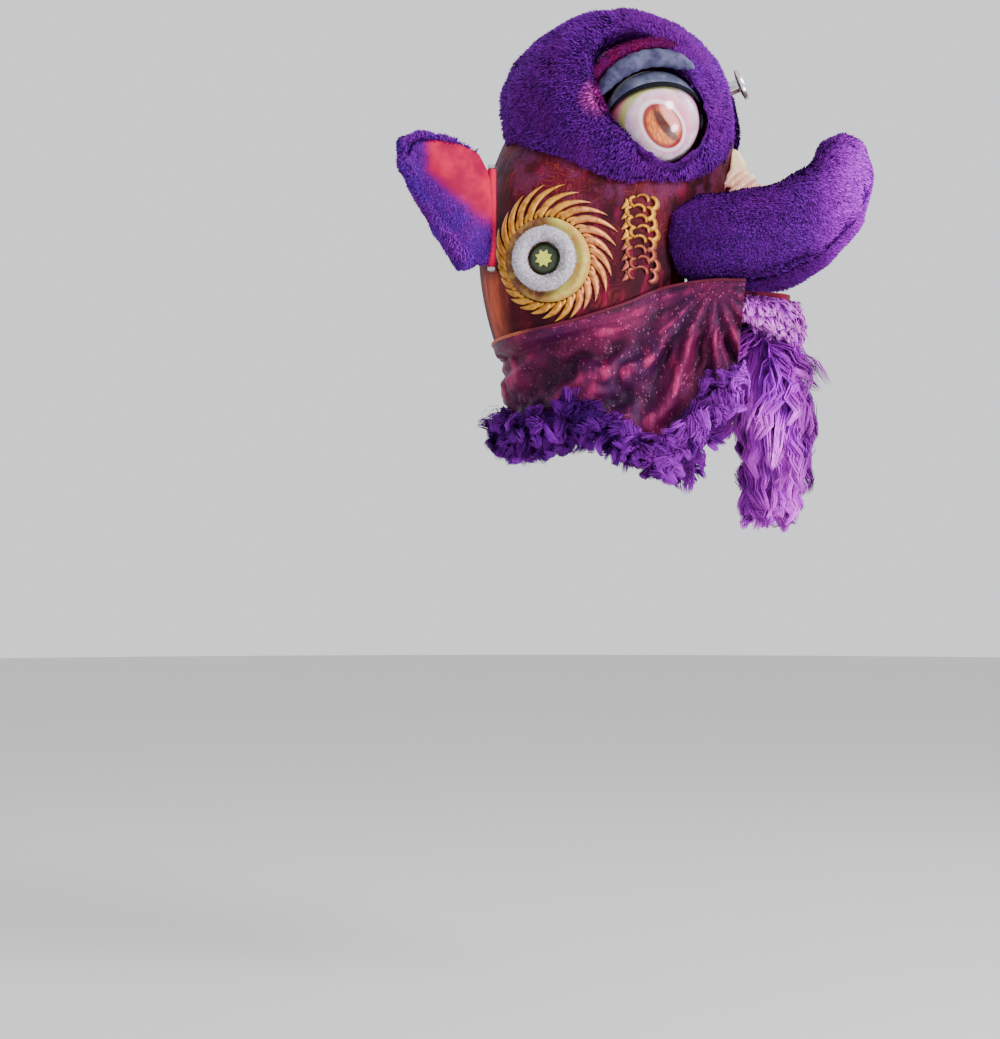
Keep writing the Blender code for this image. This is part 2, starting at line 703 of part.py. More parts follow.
def make_mirror(silver, glass, form):
    out = place(0, math.cos(math.radians(22)), math.sin(math.radians(22)))
    foot = place(0, 0.167, 0.368)
    side, up = Vector((1, 0, 0)), Vector((1, 0, 0)).cross(out)
    rings = [ring_about(foot + out * rise, side * reach, up * reach, 12)
             for rise, reach in ((-0.05, 0.013), (0.016, 0.013), (0.018, 0.030), (0.024, 0.030))]
    boolean(add_object("mirror_frame", *loft(rings), silver), "DIFFERENCE", form)
    rings = [ring_about(foot + out * rise, side * reach, up * reach, 12)
             for rise, reach in ((0.024 + GAP, 0.022), (0.0265, 0.022), (0.027, 0.0205))]
    add_object("mirror_glass", *loft(rings), glass)


# Jaw, tongue and beard

def jaw_ring(share, height, grow=0.0):
    """A ring of the tray: share 1 is its rim's outline and 0 its middle."""
    ring = []
    for i in range(14):
        angle = math.tau * (i + 0.5) / 14
        length = JAW_HALF_LENGTH * signed_power(math.cos(angle), 0.85)
        width = JAW_HALF_WIDTH * signed_power(math.sin(angle), 0.85) * (1 - 0.10 * math.cos(angle))
        out = Vector((width, -length, 0))
        centre = place(0, JAW_CENTRE, height)
        ring.append(centre + out * share + out.normalized() * grow)
    return ring


def jaw_tray(name, finish=None, grow=0.0):
    floor_height = JAW_RIM - JAW_DEPTH
    outer = ((0.70, 0.0), (0.93, 0.014), (1.0, JAW_DEPTH))
    inner = ((1.0, JAW_DEPTH), (0.93, 0.017), (0.70, 0.004))
    rings = [jaw_ring(share, floor_height + rise - (grow if rise < 0.01 else 0), grow) for share, rise in outer]
    rings[-1] = [p + Vector((0, 0, grow)) for p in rings[-1]]
    if grow:
        return add_object(name, *loft(rings), finish)
    rings += [jaw_ring(share, floor_height + rise, -0.004) for share, rise in inner]
    return add_object(name, *loft(rings), finish)


def make_jaw(finish):
    jaw = jaw_tray("jaw", finish)
    reach = 0.150
    ends = [place(side * reach, JAW_HINGE_FORWARD, JAW_HINGE_HEIGHT) for side in (-1, 1)]
    boolean(jaw, "UNION", cylinder("jaw_bar", *ends, 0.009, 12))
    for side in (-1, 1):
        drill = [place(side * across, JAW_HINGE_FORWARD, JAW_HINGE_HEIGHT) for across in (0.127, 0.20)]
        boolean(jaw, "DIFFERENCE", cylinder(f"jaw_drill_{side}", *drill, PIN_RADIUS + PIN_CLEARANCE, 12))
    return jaw


def make_jaw_pin(side, name, finish, hollow_room):
    ends = [place(side * across, JAW_HINGE_FORWARD, JAW_HINGE_HEIGHT) for across in (0.129, 0.24)]
    return boolean(cylinder(f"jaw_pin_{name}", *ends, PIN_RADIUS, 12, finish), "INTERSECT", hollow_room)


def make_tongue(finish, jaw_room):
    """A curled slab lying in the tray."""
    rings = []
    for i in range(8):
        share = i / 7
        forward = 0.076 + 0.146 * share
        half = 0.050 * (1 - 0.55 * share ** 3)
        top = -0.044 + 0.022 * math.sin(math.pi * 0.75 * share)
        outline = [(-1, -0.014), (-0.6, -0.004), (0, -0.008), (0.6, -0.004), (1, -0.014), (0.7, -0.1), (-0.7, -0.1)]
        rings.append([
            place(half * across, forward, top + rise if rise > -0.05 else JAW_RIM - JAW_DEPTH + 0.0045)
            for across, rise in outline
        ])
    return add_object("tongue", *loft(rings), finish)


def jaw_fur_path():
    path = []
    steps = 16
    for i in range(steps + 1):
        angle = math.radians(103) * (2 * i / steps - 1)
        front = max(0.0, math.cos(angle))
        across = 0.121 * signed_power(math.sin(angle), 0.85) * (1 - 0.08 * math.cos(angle))
        forward = JAW_CENTRE + 0.124 * signed_power(math.cos(angle), 0.85)
        tall = 0.024 + 0.026 * front ** 2
        path.append((place(across, forward, JAW_RIM - 0.003 - tall), tall, 0.024 + 0.004 * front))
    return path


def make_beard(finish, jaw_fur_room):
    """Locks fused side by side: each swells down its length and ends in its own point."""
    locks, per_lock, rows = 8, 4, 6
    count = locks * per_lock
    top, length = JAW_RIM - JAW_DEPTH - GAP, 0.375
    rings = []
    for row in range(rows):
        share = row / (rows - 1)
        ring = []
        for i in range(count):
            angle = math.tau * i / count
            crest = 0.5 + 0.5 * math.cos(math.tau * i / per_lock)
            spread = 0.62 + 0.38 * math.sin(math.pi * (0.15 + 0.62 * share))
            reach = spread * (0.86 + 0.14 * crest) * (1 - 0.35 * share ** 4)
            fall = length * share * (0.80 + 0.20 * crest * (0.7 + 0.3 * math.sin(3 * angle)))
            lean = 0.012 * math.sin(math.pi * share)
            ring.append(place(0.104 * reach * math.sin(angle),
                              0.236 + lean + 0.056 * reach * math.cos(angle), top - fall))
        rings.append(ring)
    bottom = place(0, 0.236, top - length * 0.76)
    beard = add_object("beard", *loft(rings, "cap", bottom), finish)
    return boolean(beard, "DIFFERENCE", jaw_fur_room)


# Neck cloth and the fur on its hem

def cloth_row(share):
    """The table's row at a place round the cloth: -1 is the right front edge, 0 the back, 1 the left front."""
    return smooth(CLOTH, abs(share) * (len(CLOTH) - 1))


def rest_on_form(point, margin):
    """Move a place straight out from the head's middle until it clears the form by a margin."""
    level = form_level(point.z)
    centre, reach = (level.front + level.back) / 2, (level.front - level.back) / 2
    low, high = 0.5, 1.6
    for _ in range(30):
        scale = (low + high) / 2
        share = (-point.y - centre) * scale / reach
        across = abs(point.x) * scale / (level.half_width * (1 - TAPER * min(max(share, -1), 1)))
        if across ** SQUARENESS + abs(share) ** SQUARENESS < 1:
            low = scale
        else:
            high = scale
    from_middle = Vector((point.x, point.y + centre, 0))
    scale = max(1.0, low + margin / from_middle.length)
    return Vector((point.x * scale, -centre + (point.y + centre) * scale, point.z))


def hem_point(share):
    row = cloth_row(share)
    return place(math.copysign(1, share) * row.hem_across, row.hem_forward, row.hem)


def make_cloth(finish):
    """A gathered curtain hung on the rim and under the bill, with folds that deepen down to the hem's fur."""
    around = 2 * HEM_STEPS
    lines = []
    for i in range(around + 1):
        share = 2 * i / around - 1
        row = cloth_row(share)
        side = math.copysign(1, share)
        ahead = hem_point(min(share + 0.03, 1)) - hem_point(max(share - 0.03, -1))
        out = Vector((ahead.y, -ahead.x, 0)).normalized()
        wave = (0.9 if i % 4 == 1 else -0.5) if i % 2 else 0.2
        swing = CLOTH_FOLD_DEPTH * wave
        hem = hem_point(share)
        if i % 2:
            hem = 0.5 * (hem_point(share - 1 / HEM_STEPS) + hem_point(share + 1 / HEM_STEPS))
        line = []
        for wall in (0.0, CLOTH_WALL):
            seat = 1 - ((swing + wall) / (HEM_FUR_RADIUS * HEM_FUR_FLATNESS)) ** 2
            end = hem.z + HEM_FUR_RADIUS * 1.02 * math.sqrt(seat) + 0.0022
            middle = 0.5 * (rim_height(row.forward) + end)
            for height, pull in ((row.top, 0.0), (rim_height(row.forward) - 0.003, 0.15), (middle, 0.6), (end, 1.0)):
                share_down = (row.top - height) / (row.top - hem.z)
                spot = place(side * row.across, row.forward, row.top).lerp(hem, share_down)
                spot.z = height
                on_shell = row.forward < 0.10 and pull < 0.5
                if on_shell:
                    spot = rest_on_form(spot, 0.0034)
                line.append(spot + out * ((0.0 if on_shell else swing * pull) + wall))
        lines.append(line)
    per = 4
    points = [p for line in lines for p in line]
    faces = []
    for i in range(around):
        here, there = 2 * per * i, 2 * per * (i + 1)
        for k in range(per - 1):
            faces.append((here + k, there + k, there + k + 1, here + k + 1))
            faces.append((here + per + k + 1, there + per + k + 1, there + per + k, here + per + k))
        faces.append((here, here + per, there + per, there))
        faces.append((here + per - 1, there + per - 1, there + 2 * per - 1, here + 2 * per - 1))
    for end in (0, around):
        first = 2 * per * end
        for k in range(per - 1):
            faces.append((first + k, first + k + 1, first + per + k + 1, first + per + k))
    return add_object("neck_cloth", points, faces, finish)


def make_hem_fur(finish):
    path = [
        (hem_point(2 * i / HEM_STEPS - 1), HEM_FUR_RADIUS, HEM_FUR_RADIUS * HEM_FUR_FLATNESS)
        for i in range(HEM_STEPS + 1)
    ]
    return fur_roll("hem_fur", path, 7, finish, lock=0.02)


# The whole head

def main():
    for old in list(bpy.data.objects):
        bpy.data.objects.remove(old)

    purple = material("purple fur", (0.085, 0.020, 0.270), 0.85)
    lilac = material("beard fur", (0.300, 0.060, 0.560), 0.85)
    maroon = material("painted shell", (0.120, 0.010, 0.045), 0.45)
    cloth_dye = material("sequin cloth", (0.130, 0.020, 0.085), 0.35, 0.4)
    gold = material("gold leaf", (0.800, 0.500, 0.120), 0.35, 0.8)
    red = material("red lining", (0.520, 0.020, 0.060), 0.6)
    pink = material("nose paint", (0.720, 0.280, 0.300), 0.45)
    white = material("white pile", (0.780, 0.740, 0.800), 0.9)
    ball_white = material("eye enamel", (0.860, 0.820, 0.820), 0.2)
    lid_silver = material("lid silver", (0.300, 0.310, 0.400), 0.35, 0.6)
    green = material("dark green", (0.060, 0.080, 0.030), 0.5)
    lime = material("lime", (0.620, 0.680, 0.120), 0.5)
    steel = material("steel", (0.550, 0.550, 0.560), 0.35, 1.0)
    silver = material("silver", (0.750, 0.750, 0.780), 0.25, 1.0)
    glass = material("mirror", (0.850, 0.850, 0.880), 0.05, 1.0)
    bamboo = material("bamboo", (0.550, 0.380, 0.180), 0.6)

    make_shell(maroon)
    form = form_solid("form_room", GAP)
    hollow_room = form_solid("hollow_room", -WALL - GAP)

    make_bill("bill", red)
    boolean(bpy.data.objects["bill"], "DIFFERENCE", form)
    front_room = boolean(make_bill("front_room", None, grow=GAP), "UNION", form)
    make_bill_fur(purple, front_room)
    make_nose(pink, front_room)
    make_mirror(silver, glass, form)

    make_brow_fur(-1, "right", purple, form)
    make_eye(-1, "right", ball_white)
    make_lid(-1, "right", lid_silver)
    make_cheek_disc(-1, "right", gold, white, green, lime, form)
    make_flames(-1, "right", gold)
    make_curls(-1, "right", gold)
    make_ear(-1, "right", red, purple, steel, form)
    make_jaw_pin(-1, "right", steel, hollow_room)
    bpy.context.view_layer.update()
    for piece in list(bpy.context.scene.objects):
        if piece.name.endswith("_right") and not piece.hide_render:
            mirror_copy(piece.name.replace("_right", "_left"), piece)

    ends = [place(side * 0.30, 0, 0) for side in (-1, 1)]
    boolean(cylinder("hand_bar", *ends, 0.012, 14, bamboo), "INTERSECT", hollow_room)

    make_jaw(red)
    fur_path = jaw_fur_path()
    jaw_fur = fur_roll("jaw_fur", fur_path, 7, purple, lock=0.03, end_length=0.02)
    boolean(jaw_fur, "DIFFERENCE", jaw_tray("jaw_room", grow=GAP))
    make_tongue(red, None)
    make_beard(lilac, fur_roll("jaw_fur_room", fur_path, 7, None, lock=0.03, grow=3 * GAP, end_length=0.02))

    make_cloth(cloth_dye)
    make_hem_fur(purple)


main()
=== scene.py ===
import json
import math

import bpy
import numpy as np
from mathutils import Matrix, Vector
from mathutils.kdtree import KDTree

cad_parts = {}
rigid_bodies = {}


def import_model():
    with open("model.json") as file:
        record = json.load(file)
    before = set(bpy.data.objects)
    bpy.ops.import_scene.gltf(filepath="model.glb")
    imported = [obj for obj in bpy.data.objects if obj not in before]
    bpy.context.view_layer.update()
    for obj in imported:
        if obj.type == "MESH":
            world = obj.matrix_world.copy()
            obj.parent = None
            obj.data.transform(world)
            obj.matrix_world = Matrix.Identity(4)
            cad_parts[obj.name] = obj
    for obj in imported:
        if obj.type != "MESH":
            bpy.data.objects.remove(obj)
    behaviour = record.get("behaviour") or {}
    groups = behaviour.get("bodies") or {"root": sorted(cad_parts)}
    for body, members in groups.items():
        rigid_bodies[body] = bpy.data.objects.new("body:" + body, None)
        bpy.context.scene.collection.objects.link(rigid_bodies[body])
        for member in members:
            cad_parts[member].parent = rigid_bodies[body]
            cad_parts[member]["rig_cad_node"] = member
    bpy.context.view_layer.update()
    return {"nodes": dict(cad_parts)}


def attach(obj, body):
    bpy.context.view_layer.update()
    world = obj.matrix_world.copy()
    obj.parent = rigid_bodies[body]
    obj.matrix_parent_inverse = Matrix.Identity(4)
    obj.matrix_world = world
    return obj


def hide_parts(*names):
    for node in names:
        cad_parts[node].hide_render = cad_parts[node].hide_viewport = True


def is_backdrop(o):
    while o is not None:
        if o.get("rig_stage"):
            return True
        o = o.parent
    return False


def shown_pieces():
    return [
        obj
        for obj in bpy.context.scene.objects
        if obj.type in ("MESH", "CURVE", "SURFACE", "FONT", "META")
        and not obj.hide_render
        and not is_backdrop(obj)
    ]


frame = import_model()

# Lion dance head. Metres, +Z up. The lion looks along -Y and its right side is -X.
# "forward" below is distance along -Y.
print("frame:", len(frame["nodes"]), "nodes")

# camera, floor and lights

cameraLook = {
    "place": (-4.98739, -0.43939, -0.42458),
    "aim": (-0.03605, 0.25648, -0.42458),
    "lens": 93.64,
}
stageLook = {
    "floorHeight": -1.375,
    "floorRadius": 14.0,
    "floorColour": (0.62, 0.61, 0.60),
    "sky": (0.88, 0.89, 0.92),
    "skyStrength": 1.25,
}
lampTable = {
    "key": {"place": (-2.9, -3.3, 2.9), "size": 1.7, "power": 330, "colour": (1.0, 0.95, 0.92)},
    "fill": {"place": (-3.6, 2.6, 1.4), "size": 2.8, "power": 15, "colour": (0.93, 0.95, 1.0)},
    "rim": {"place": (2.4, -2.6, 2.6), "size": 2.0, "power": 70, "colour": (1.0, 0.97, 0.95)},
    "front": {"place": (-1.5, -2.5, -0.75), "size": 0.9, "power": 75, "colour": (1.0, 0.88, 1.0),
              "aim": (0.0, -0.25, -0.28)},
    "back": {"place": (1.6, 3.4, 2.2), "size": 2.4, "power": 25, "colour": (0.95, 0.96, 1.0)},
}
lampAim = (0, 0, 0.1)


def makeCamera():
    aim = Vector(cameraLook["aim"]) - Vector(cameraLook["place"])
    bpy.ops.object.camera_add(location=cameraLook["place"], rotation=aim.to_track_quat("-Z", "Y").to_euler())
    camera = bpy.context.object
    camera.data.lens = cameraLook["lens"]
    camera.data.sensor_width = 36
    bpy.context.scene.camera = camera


def makeLamps():
    for name, lamp in lampTable.items():
        look = Vector(lamp.get("aim", lampAim)) - Vector(lamp["place"])
        turn = look.to_track_quat("-Z", "Y").to_euler()
        bpy.ops.object.light_add(type="AREA", location=lamp["place"], rotation=turn)
        light = bpy.context.object
        light.name = "lamp_" + name
        light.data.shape = "DISK"
        light.data.size = lamp["size"]
        light.data.energy = lamp["power"]
        light.data.color = lamp["colour"]


makeCamera()
makeLamps()
print("camera and lamps")

# shader sums


class Wire:  # one output socket, used in sums
    def __init__(self, paint, socket):
        self.paint = paint
        self.socket = socket

    def __add__(self, other):
        return self.paint.sum("ADD", self, other)

    def __radd__(self, other):
        return self.paint.sum("ADD", other, self)

    def __sub__(self, other):
        return self.paint.sum("SUBTRACT", self, other)

    def __rsub__(self, other):
        return self.paint.sum("SUBTRACT", other, self)

    def __mul__(self, other):
        return self.paint.sum("MULTIPLY", self, other)

    def __rmul__(self, other):
        return self.paint.sum("MULTIPLY", other, self)

    def __truediv__(self, other):
        return self.paint.sum("DIVIDE", self, other)

    def __pow__(self, other):
        return self.paint.sum("POWER", self, other)

    def over(self, low, high):  # 0 below low, 1 above high, smooth between
        return self.paint.add("MapRange", {"interpolation_type": "SMOOTHSTEP"},
                              {"Value": self, "From Min": low, "From Max": high})


class Paint:  # one material and the ways to fill it
    def __init__(self, name, **fixed):
        self.material = bpy.data.materials.new(name)
        self.material.use_nodes = True
        self.tree = self.material.node_tree
        self.shader = self.tree.nodes["Principled BSDF"]
        for key, value in fixed.items():
            self.feed(self.shader.inputs[key.replace("_", " ")], value)

    def feed(self, socket, value):
        if isinstance(value, Wire):
            self.tree.links.new(value.socket, socket)
        elif isinstance(value, (tuple, list)) and socket.type == "RGBA" and len(value) == 3:
            socket.default_value = (*value, 1.0)
        else:
            socket.default_value = value

    def add(self, kind, settings=None, values=None, output=0):
        node = self.tree.nodes.new("ShaderNode" + kind)
        for key, value in (settings or {}).items():
            setattr(node, key, value)
        for key, value in (values or {}).items():
            self.feed(node.inputs[key], value)
        return Wire(self, node.outputs[output])

    def sum(self, operation, first, second):
        return self.add("Math", {"operation": operation}, {0: first, 1: second})

    def place(self, centre=(0, 0, 0), turn=(0, 0, 0), scale=(1, 1, 1)):
        spot = self.add("TexCoord", {}, {}, "Object")
        moved = self.add("VectorMath", {"operation": "SUBTRACT"}, {0: spot, 1: centre})
        return self.add("Mapping", {}, {"Vector": moved, "Rotation": turn, "Scale": scale})

    def noise(self, where, scale, detail=3.0, rough=0.55):
        values = {"Vector": where, "Scale": scale, "Detail": detail, "Roughness": rough}
        return self.add("TexNoise", {}, values)

    def cells(self, where, scale, feature="F1", output="Distance"):
        return self.add("TexVoronoi", {"feature": feature}, {"Vector": where, "Scale": scale}, output)

    def mix(self, share, first, second, how="MIX"):
        return self.add("Mix", {"data_type": "RGBA", "blend_type": how}, {0: share, 6: first, 7: second}, 2)

    def split(self, where, axis):
        return self.add("SeparateXYZ", {}, {0: where}, axis)

    def attribute(self, name):
        return self.add("Attribute", {"attribute_name": name}, {}, "Fac")

    def finish(self, colour=None, rough=None, bump=None, strength=0.3, depth=0.001, metal=None):
        for key, value in (("Base Color", colour), ("Roughness", rough), ("Metallic", metal)):
            if value is not None:
                self.feed(self.shader.inputs[key], value)
        if bump is not None:
            normal = self.add("Bump", {}, {"Height": bump, "Strength": strength, "Distance": depth})
            self.feed(self.shader.inputs["Normal"], normal)
        return self.material


# small modelling tools


def pickOnly(piece):
    bpy.ops.object.select_all(action="DESELECT")
    piece.select_set(True)
    bpy.context.view_layer.objects.active = piece


def applyStep(piece, kind, **settings):
    step = piece.modifiers.new(kind.lower(), kind)
    for key, value in settings.items():
        setattr(step, key, value)
    pickOnly(piece)
    bpy.ops.object.modifier_apply(modifier=step.name)


mergeDistance = 0.00002


def tidyMesh(piece):
    pickOnly(piece)
    bpy.ops.object.mode_set(mode="EDIT")
    bpy.ops.mesh.select_all(action="SELECT")
    bpy.ops.mesh.remove_doubles(threshold=mergeDistance)
    bpy.ops.mesh.normals_make_consistent(inside=False)
    bpy.ops.object.mode_set(mode="OBJECT")


def newPiece(name, points, faces):
    mesh = bpy.data.meshes.new(name)
    mesh.from_pydata([tuple(p) for p in points], [], [tuple(f) for f in faces])
    piece = bpy.data.objects.new(name, mesh)
    bpy.context.scene.collection.objects.link(piece)
    return piece


def copyNode(node, name):
    piece = bpy.data.objects.new(name, frame["nodes"][node].data.copy())
    bpy.context.scene.collection.objects.link(piece)
    piece.data.materials.clear()
    tidyMesh(piece)
    return piece


def settle(piece):  # the place goes into the mesh
    pickOnly(piece)
    bpy.ops.object.transform_apply(location=True, rotation=True, scale=True)
    return piece


def dress(piece, paint, body="head", nodes=(), angle=40):
    piece.data.materials.clear()
    piece.data.materials.append(paint)
    if angle:
        pickOnly(piece)
        bpy.ops.object.shade_smooth_by_angle(angle=math.radians(angle))
    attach(piece, body)
    if nodes:
        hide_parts(*nodes)
    return piece


def readPoints(mesh):
    points = np.empty(len(mesh.vertices) * 3)
    mesh.vertices.foreach_get("co", points)
    return points.reshape(-1, 3)


def cutWith(piece, other):
    applyStep(piece, "BOOLEAN", operation="DIFFERENCE", solver="EXACT", object=other)
    bpy.data.objects.remove(other)


def loftPiece(name, rings):  # a skin over closed rings, with flat ends
    rings = np.asarray(rings)
    levels, count = rings.shape[:2]
    faces = []
    for level in range(levels - 1):
        low, high = level * count, (level + 1) * count
        for i in range(count):
            j = (i + 1) % count
            faces.append((low + i, low + j, high + j, high + i))
    faces.append(tuple(range(count))[::-1])
    faces.append(tuple(range((levels - 1) * count, levels * count)))
    piece = newPiece(name, rings.reshape(-1, 3), faces)
    tidyMesh(piece)
    return piece


def spinPiece(name, profile, centre, axis, steps=64):  # profile rows are (radius, rise along the axis)
    axis = Vector(axis).normalized()
    side = axis.orthogonal().normalized()
    centre = Vector(centre)
    mesh = bpy.data.meshes.new(name)
    points = [centre + side * r + axis * h for r, h in profile]
    mesh.from_pydata(points, [(i, i + 1) for i in range(len(points) - 1)], [])
    piece = bpy.data.objects.new(name, mesh)
    bpy.context.scene.collection.objects.link(piece)
    pickOnly(piece)
    bpy.ops.object.mode_set(mode="EDIT")
    bpy.ops.mesh.select_all(action="SELECT")
    bpy.ops.mesh.spin(steps=steps, angle=math.tau, center=centre, axis=axis)
    bpy.ops.object.mode_set(mode="OBJECT")
    tidyMesh(piece)
    return piece


def tubePiece(name, points, radius, sides=10, taper=None):
    curve = bpy.data.curves.new(name, "CURVE")
    curve.dimensions = "3D"
    curve.bevel_depth = radius
    curve.bevel_resolution = sides // 4
    curve.use_fill_caps = True
    spline = curve.splines.new("POLY")
    spline.points.add(len(points) - 1)
    for i, (spot, place) in enumerate(zip(spline.points, points)):
        spot.co = (*place, 1)
        spot.radius = taper[i] if taper is not None else 1
    piece = bpy.data.objects.new(name, curve)
    bpy.context.scene.collection.objects.link(piece)
    pickOnly(piece)
    bpy.ops.object.convert(target="MESH")
    piece = bpy.context.object
    tidyMesh(piece)
    return piece


def joined(name, pieces):
    pickOnly(pieces[0])
    for piece in pieces[1:]:
        piece.select_set(True)
    bpy.ops.object.join()
    bpy.context.object.name = name
    return bpy.context.object


def unit(vectors):
    return vectors / np.maximum(np.linalg.norm(vectors, axis=-1, keepdims=True), 1e-9)


def ripple(points, size, seed):  # smooth noise of about -1 to 1 with waves of a given size
    rng = np.random.default_rng(seed)
    total = np.zeros(points.shape[:-1])
    waves = 7
    for _ in range(waves):
        way = unit(rng.normal(size=3)) * math.tau / (size * rng.uniform(0.7, 1.5))
        total += np.sin(points @ way + rng.uniform(0, math.tau))
    return total / 3.2


# the head's form, level by level

formLook = {
    "rows": np.array((  # height, half width, front, back
        (-0.150, 0.222, 0.060, -0.250),
        (-0.050, 0.246, 0.104, -0.280),
        (0.040, 0.255, 0.137, -0.294),
        (0.130, 0.248, 0.158, -0.292),
        (0.210, 0.229, 0.168, -0.272),
        (0.285, 0.204, 0.174, -0.240),
        (0.350, 0.168, 0.169, -0.196),
        (0.400, 0.124, 0.150, -0.146),
        (0.432, 0.074, 0.110, -0.086),
        (0.446, 0.022, 0.050, -0.020),
    )),
    "crown": 0.448,
    "square": 2.4,
    "taper": 0.16,
    "wall": 0.003,
    "sink": 0.0012,
    "around": 96,
    "rings": 64,
    "rimAtOrigin": -0.062,
    "rimSlope": 0.224,
    "cheekFront": 0.070,
    "mouthTop": 0.064,
    "deepen": 0.05,  # the hollow and the block that opens the shell reach past it
    "below": -0.4,
    "beyond": 0.45,
    "ahead": 0.35,
}


def curveThrough(rows, steps):
    rows = np.asarray(rows, float)
    last = len(rows) - 1
    steps = np.clip(np.asarray(steps, float), 0, last)
    i = np.minimum(steps.astype(int), last - 1)
    t = (steps - i)[:, None]
    p, q, r, s = (rows[np.clip(i + k, 0, last)] for k in (-1, 0, 1, 2))
    square, cube = 2 * p - 5 * q + 4 * r - s, 3 * q - p - 3 * r + s
    return 0.5 * (2 * q + (r - p) * t + square * t ** 2 + cube * t ** 3)


formLast = len(formLook["rows"]) - 1
formDense = curveThrough(formLook["rows"], np.linspace(0, formLast, 500))


def formAt(height):
    return [np.interp(height, formDense[:, 0], formDense[:, k]) for k in (1, 2, 3)]


def formSide(forward, height):  # how far out the side stands
    half, front, back = formAt(height)
    centre, reach = (front + back) / 2, (front - back) / 2
    share = np.clip((forward - centre) / reach, -0.995, 0.995)
    power = formLook["square"]
    return half * (1 - formLook["taper"] * share) * (1 - np.abs(share) ** power) ** (1 / power)


def formShare(points):  # below 1 inside the form
    half, front, back = formAt(points[..., 2])
    centre, reach = (front + back) / 2, (front - back) / 2
    share = (-points[..., 1] - centre) / reach
    across = np.abs(points[..., 0]) / (half * (1 - formLook["taper"] * np.clip(share, -1, 1)))
    power = formLook["square"]
    return (across ** power + np.abs(share) ** power) ** (1 / power)


def formRings(grow, deepen=0.0):
    rows = curveThrough(formLook["rows"], np.linspace(0, formLast, formLook["rings"]))
    angle = math.tau * (np.arange(formLook["around"]) + 0.5) / formLook["around"]
    power = 2 / formLook["square"]
    share = -np.sign(np.cos(angle)) * np.abs(np.cos(angle)) ** power
    side = np.sign(np.sin(angle)) * np.abs(np.sin(angle)) ** power
    rings = []
    for k, (height, half, front, back) in enumerate(rows):
        lift = (k / (len(rows) - 1)) ** 2
        centre, reach = (front + back) / 2, (front - back) / 2 + grow
        across = (half + grow) * (1 - formLook["taper"] * share) * side
        level = np.full_like(angle, height + grow * lift)
        rings.append(np.stack([across, -(centre + reach * share), level], 1))
    if deepen:
        rings.insert(0, rings[0] - (0, 0, deepen))
    top = rings[-1]
    middle = np.array((0, -0.015, formLook["crown"] + grow))
    rings.append(middle + (top - middle) * 0.5 + (0, 0, 0.25 * (middle[2] - top[0, 2])))
    rings.append(middle + (top - middle) * 0.04)
    return np.array(rings)


eyeLook = {
    "place": (0.180, -0.040, 0.285),
    "turn": math.radians(22),
    "ball": 0.082,
    "pin": (0.0892, 0.004),  # reach and radius
    "post": (0.070, 0.0965, 0.018),  # from, to and radius
    "socket": 0.098,
    "socketWall": 0.003,
    "lid": (0.0866, 0.0894),
    "lidLow": math.radians(38),
    "lidHigh": math.radians(100),
    "lidReach": math.radians(83),
    "boss": (0.0046, 0.0125, 0.004),  # hole, radius and depth
    "bossEdge": 0.0005,
    "bossAt": (-0.0890, 0.0850),
    "lashReach": 1.34,
    "lashSink": 0.0010,
    "lashes": ((-0.014, 0.0024), (0.022, 0.0026), (0.060, 0.0022)),  # drop and thickness
}


def eyeFrame(side):
    x, y, z = eyeLook["place"]
    turn = eyeLook["turn"]
    centre = Vector((side * x, y, z))
    look = Vector((side * math.cos(turn), -math.sin(turn), 0))
    axis = Vector((-side * math.sin(turn), -math.cos(turn), 0))
    return centre, look, axis


def ballAt(name, centre, radius, segments=48, rings=24, pole=(0, 0, 1)):
    bpy.ops.object.select_all(action="DESELECT")
    turn = Vector(pole).to_track_quat("Z", "Y").to_euler()
    bpy.ops.mesh.primitive_uv_sphere_add(segments=segments, ring_count=rings, radius=radius,
                                         location=centre, rotation=turn)
    ball = bpy.context.object
    ball.name = name
    return settle(ball)


def rimHeight(forward):
    return formLook["rimAtOrigin"] + formLook["rimSlope"] * forward


def makeShell():
    sink, low, wide = formLook["sink"], formLook["below"], formLook["beyond"]
    shell = loftPiece("shell", formRings(-sink))
    hollow = loftPiece("hollow", formRings(-sink - formLook["wall"], deepen=formLook["deepen"]))
    for side in (-1, 1):
        centre = eyeFrame(side)[0]
        cutWith(hollow, ballAt("socketWall", centre, eyeLook["socket"] + eyeLook["socketWall"]))
        cutWith(shell, ballAt("socket", centre, eyeLook["socket"]))
    cutWith(shell, hollow)
    front, top = formLook["cheekFront"], formLook["mouthTop"]
    outline = ((-wide, low), (-wide, rimHeight(-wide)), (front, rimHeight(front)), (front, top),
               (formLook["ahead"], top), (formLook["ahead"], low))
    rings = [[(x, -f, z) for f, z in outline] for x in (-wide, wide)]
    cutWith(shell, loftPiece("opening", rings))
    return shell


# fur: a soft base with many short curved strands on it

strandLook = {
    "rootDepth": 0.0015,
    "leanStray": 0.12,
    "shortest": 0.012,
}


def softBase(node, name, voxel=0.006, rounds=6, wave=0.0, size=0.03, inset=0.0, seed=1):
    base = copyNode(node, name)
    applyStep(base, "REMESH", mode="VOXEL", voxel_size=voxel)
    applyStep(base, "SMOOTH", factor=0.5, iterations=rounds)
    if inset:  # leaves room for the pile inside the CAD solid
        applyStep(base, "DISPLACE", strength=-inset, mid_level=0)
        applyStep(base, "SMOOTH", factor=0.5, iterations=4)
    if wave:
        points = readPoints(base.data)
        normals = np.empty(len(points) * 3)
        base.data.vertices.foreach_get("normal", normals)
        points += normals.reshape(-1, 3) * (wave * ripple(points, size, seed))[:, None]
        base.data.vertices.foreach_set("co", points.ravel())
        base.data.update()
    return base


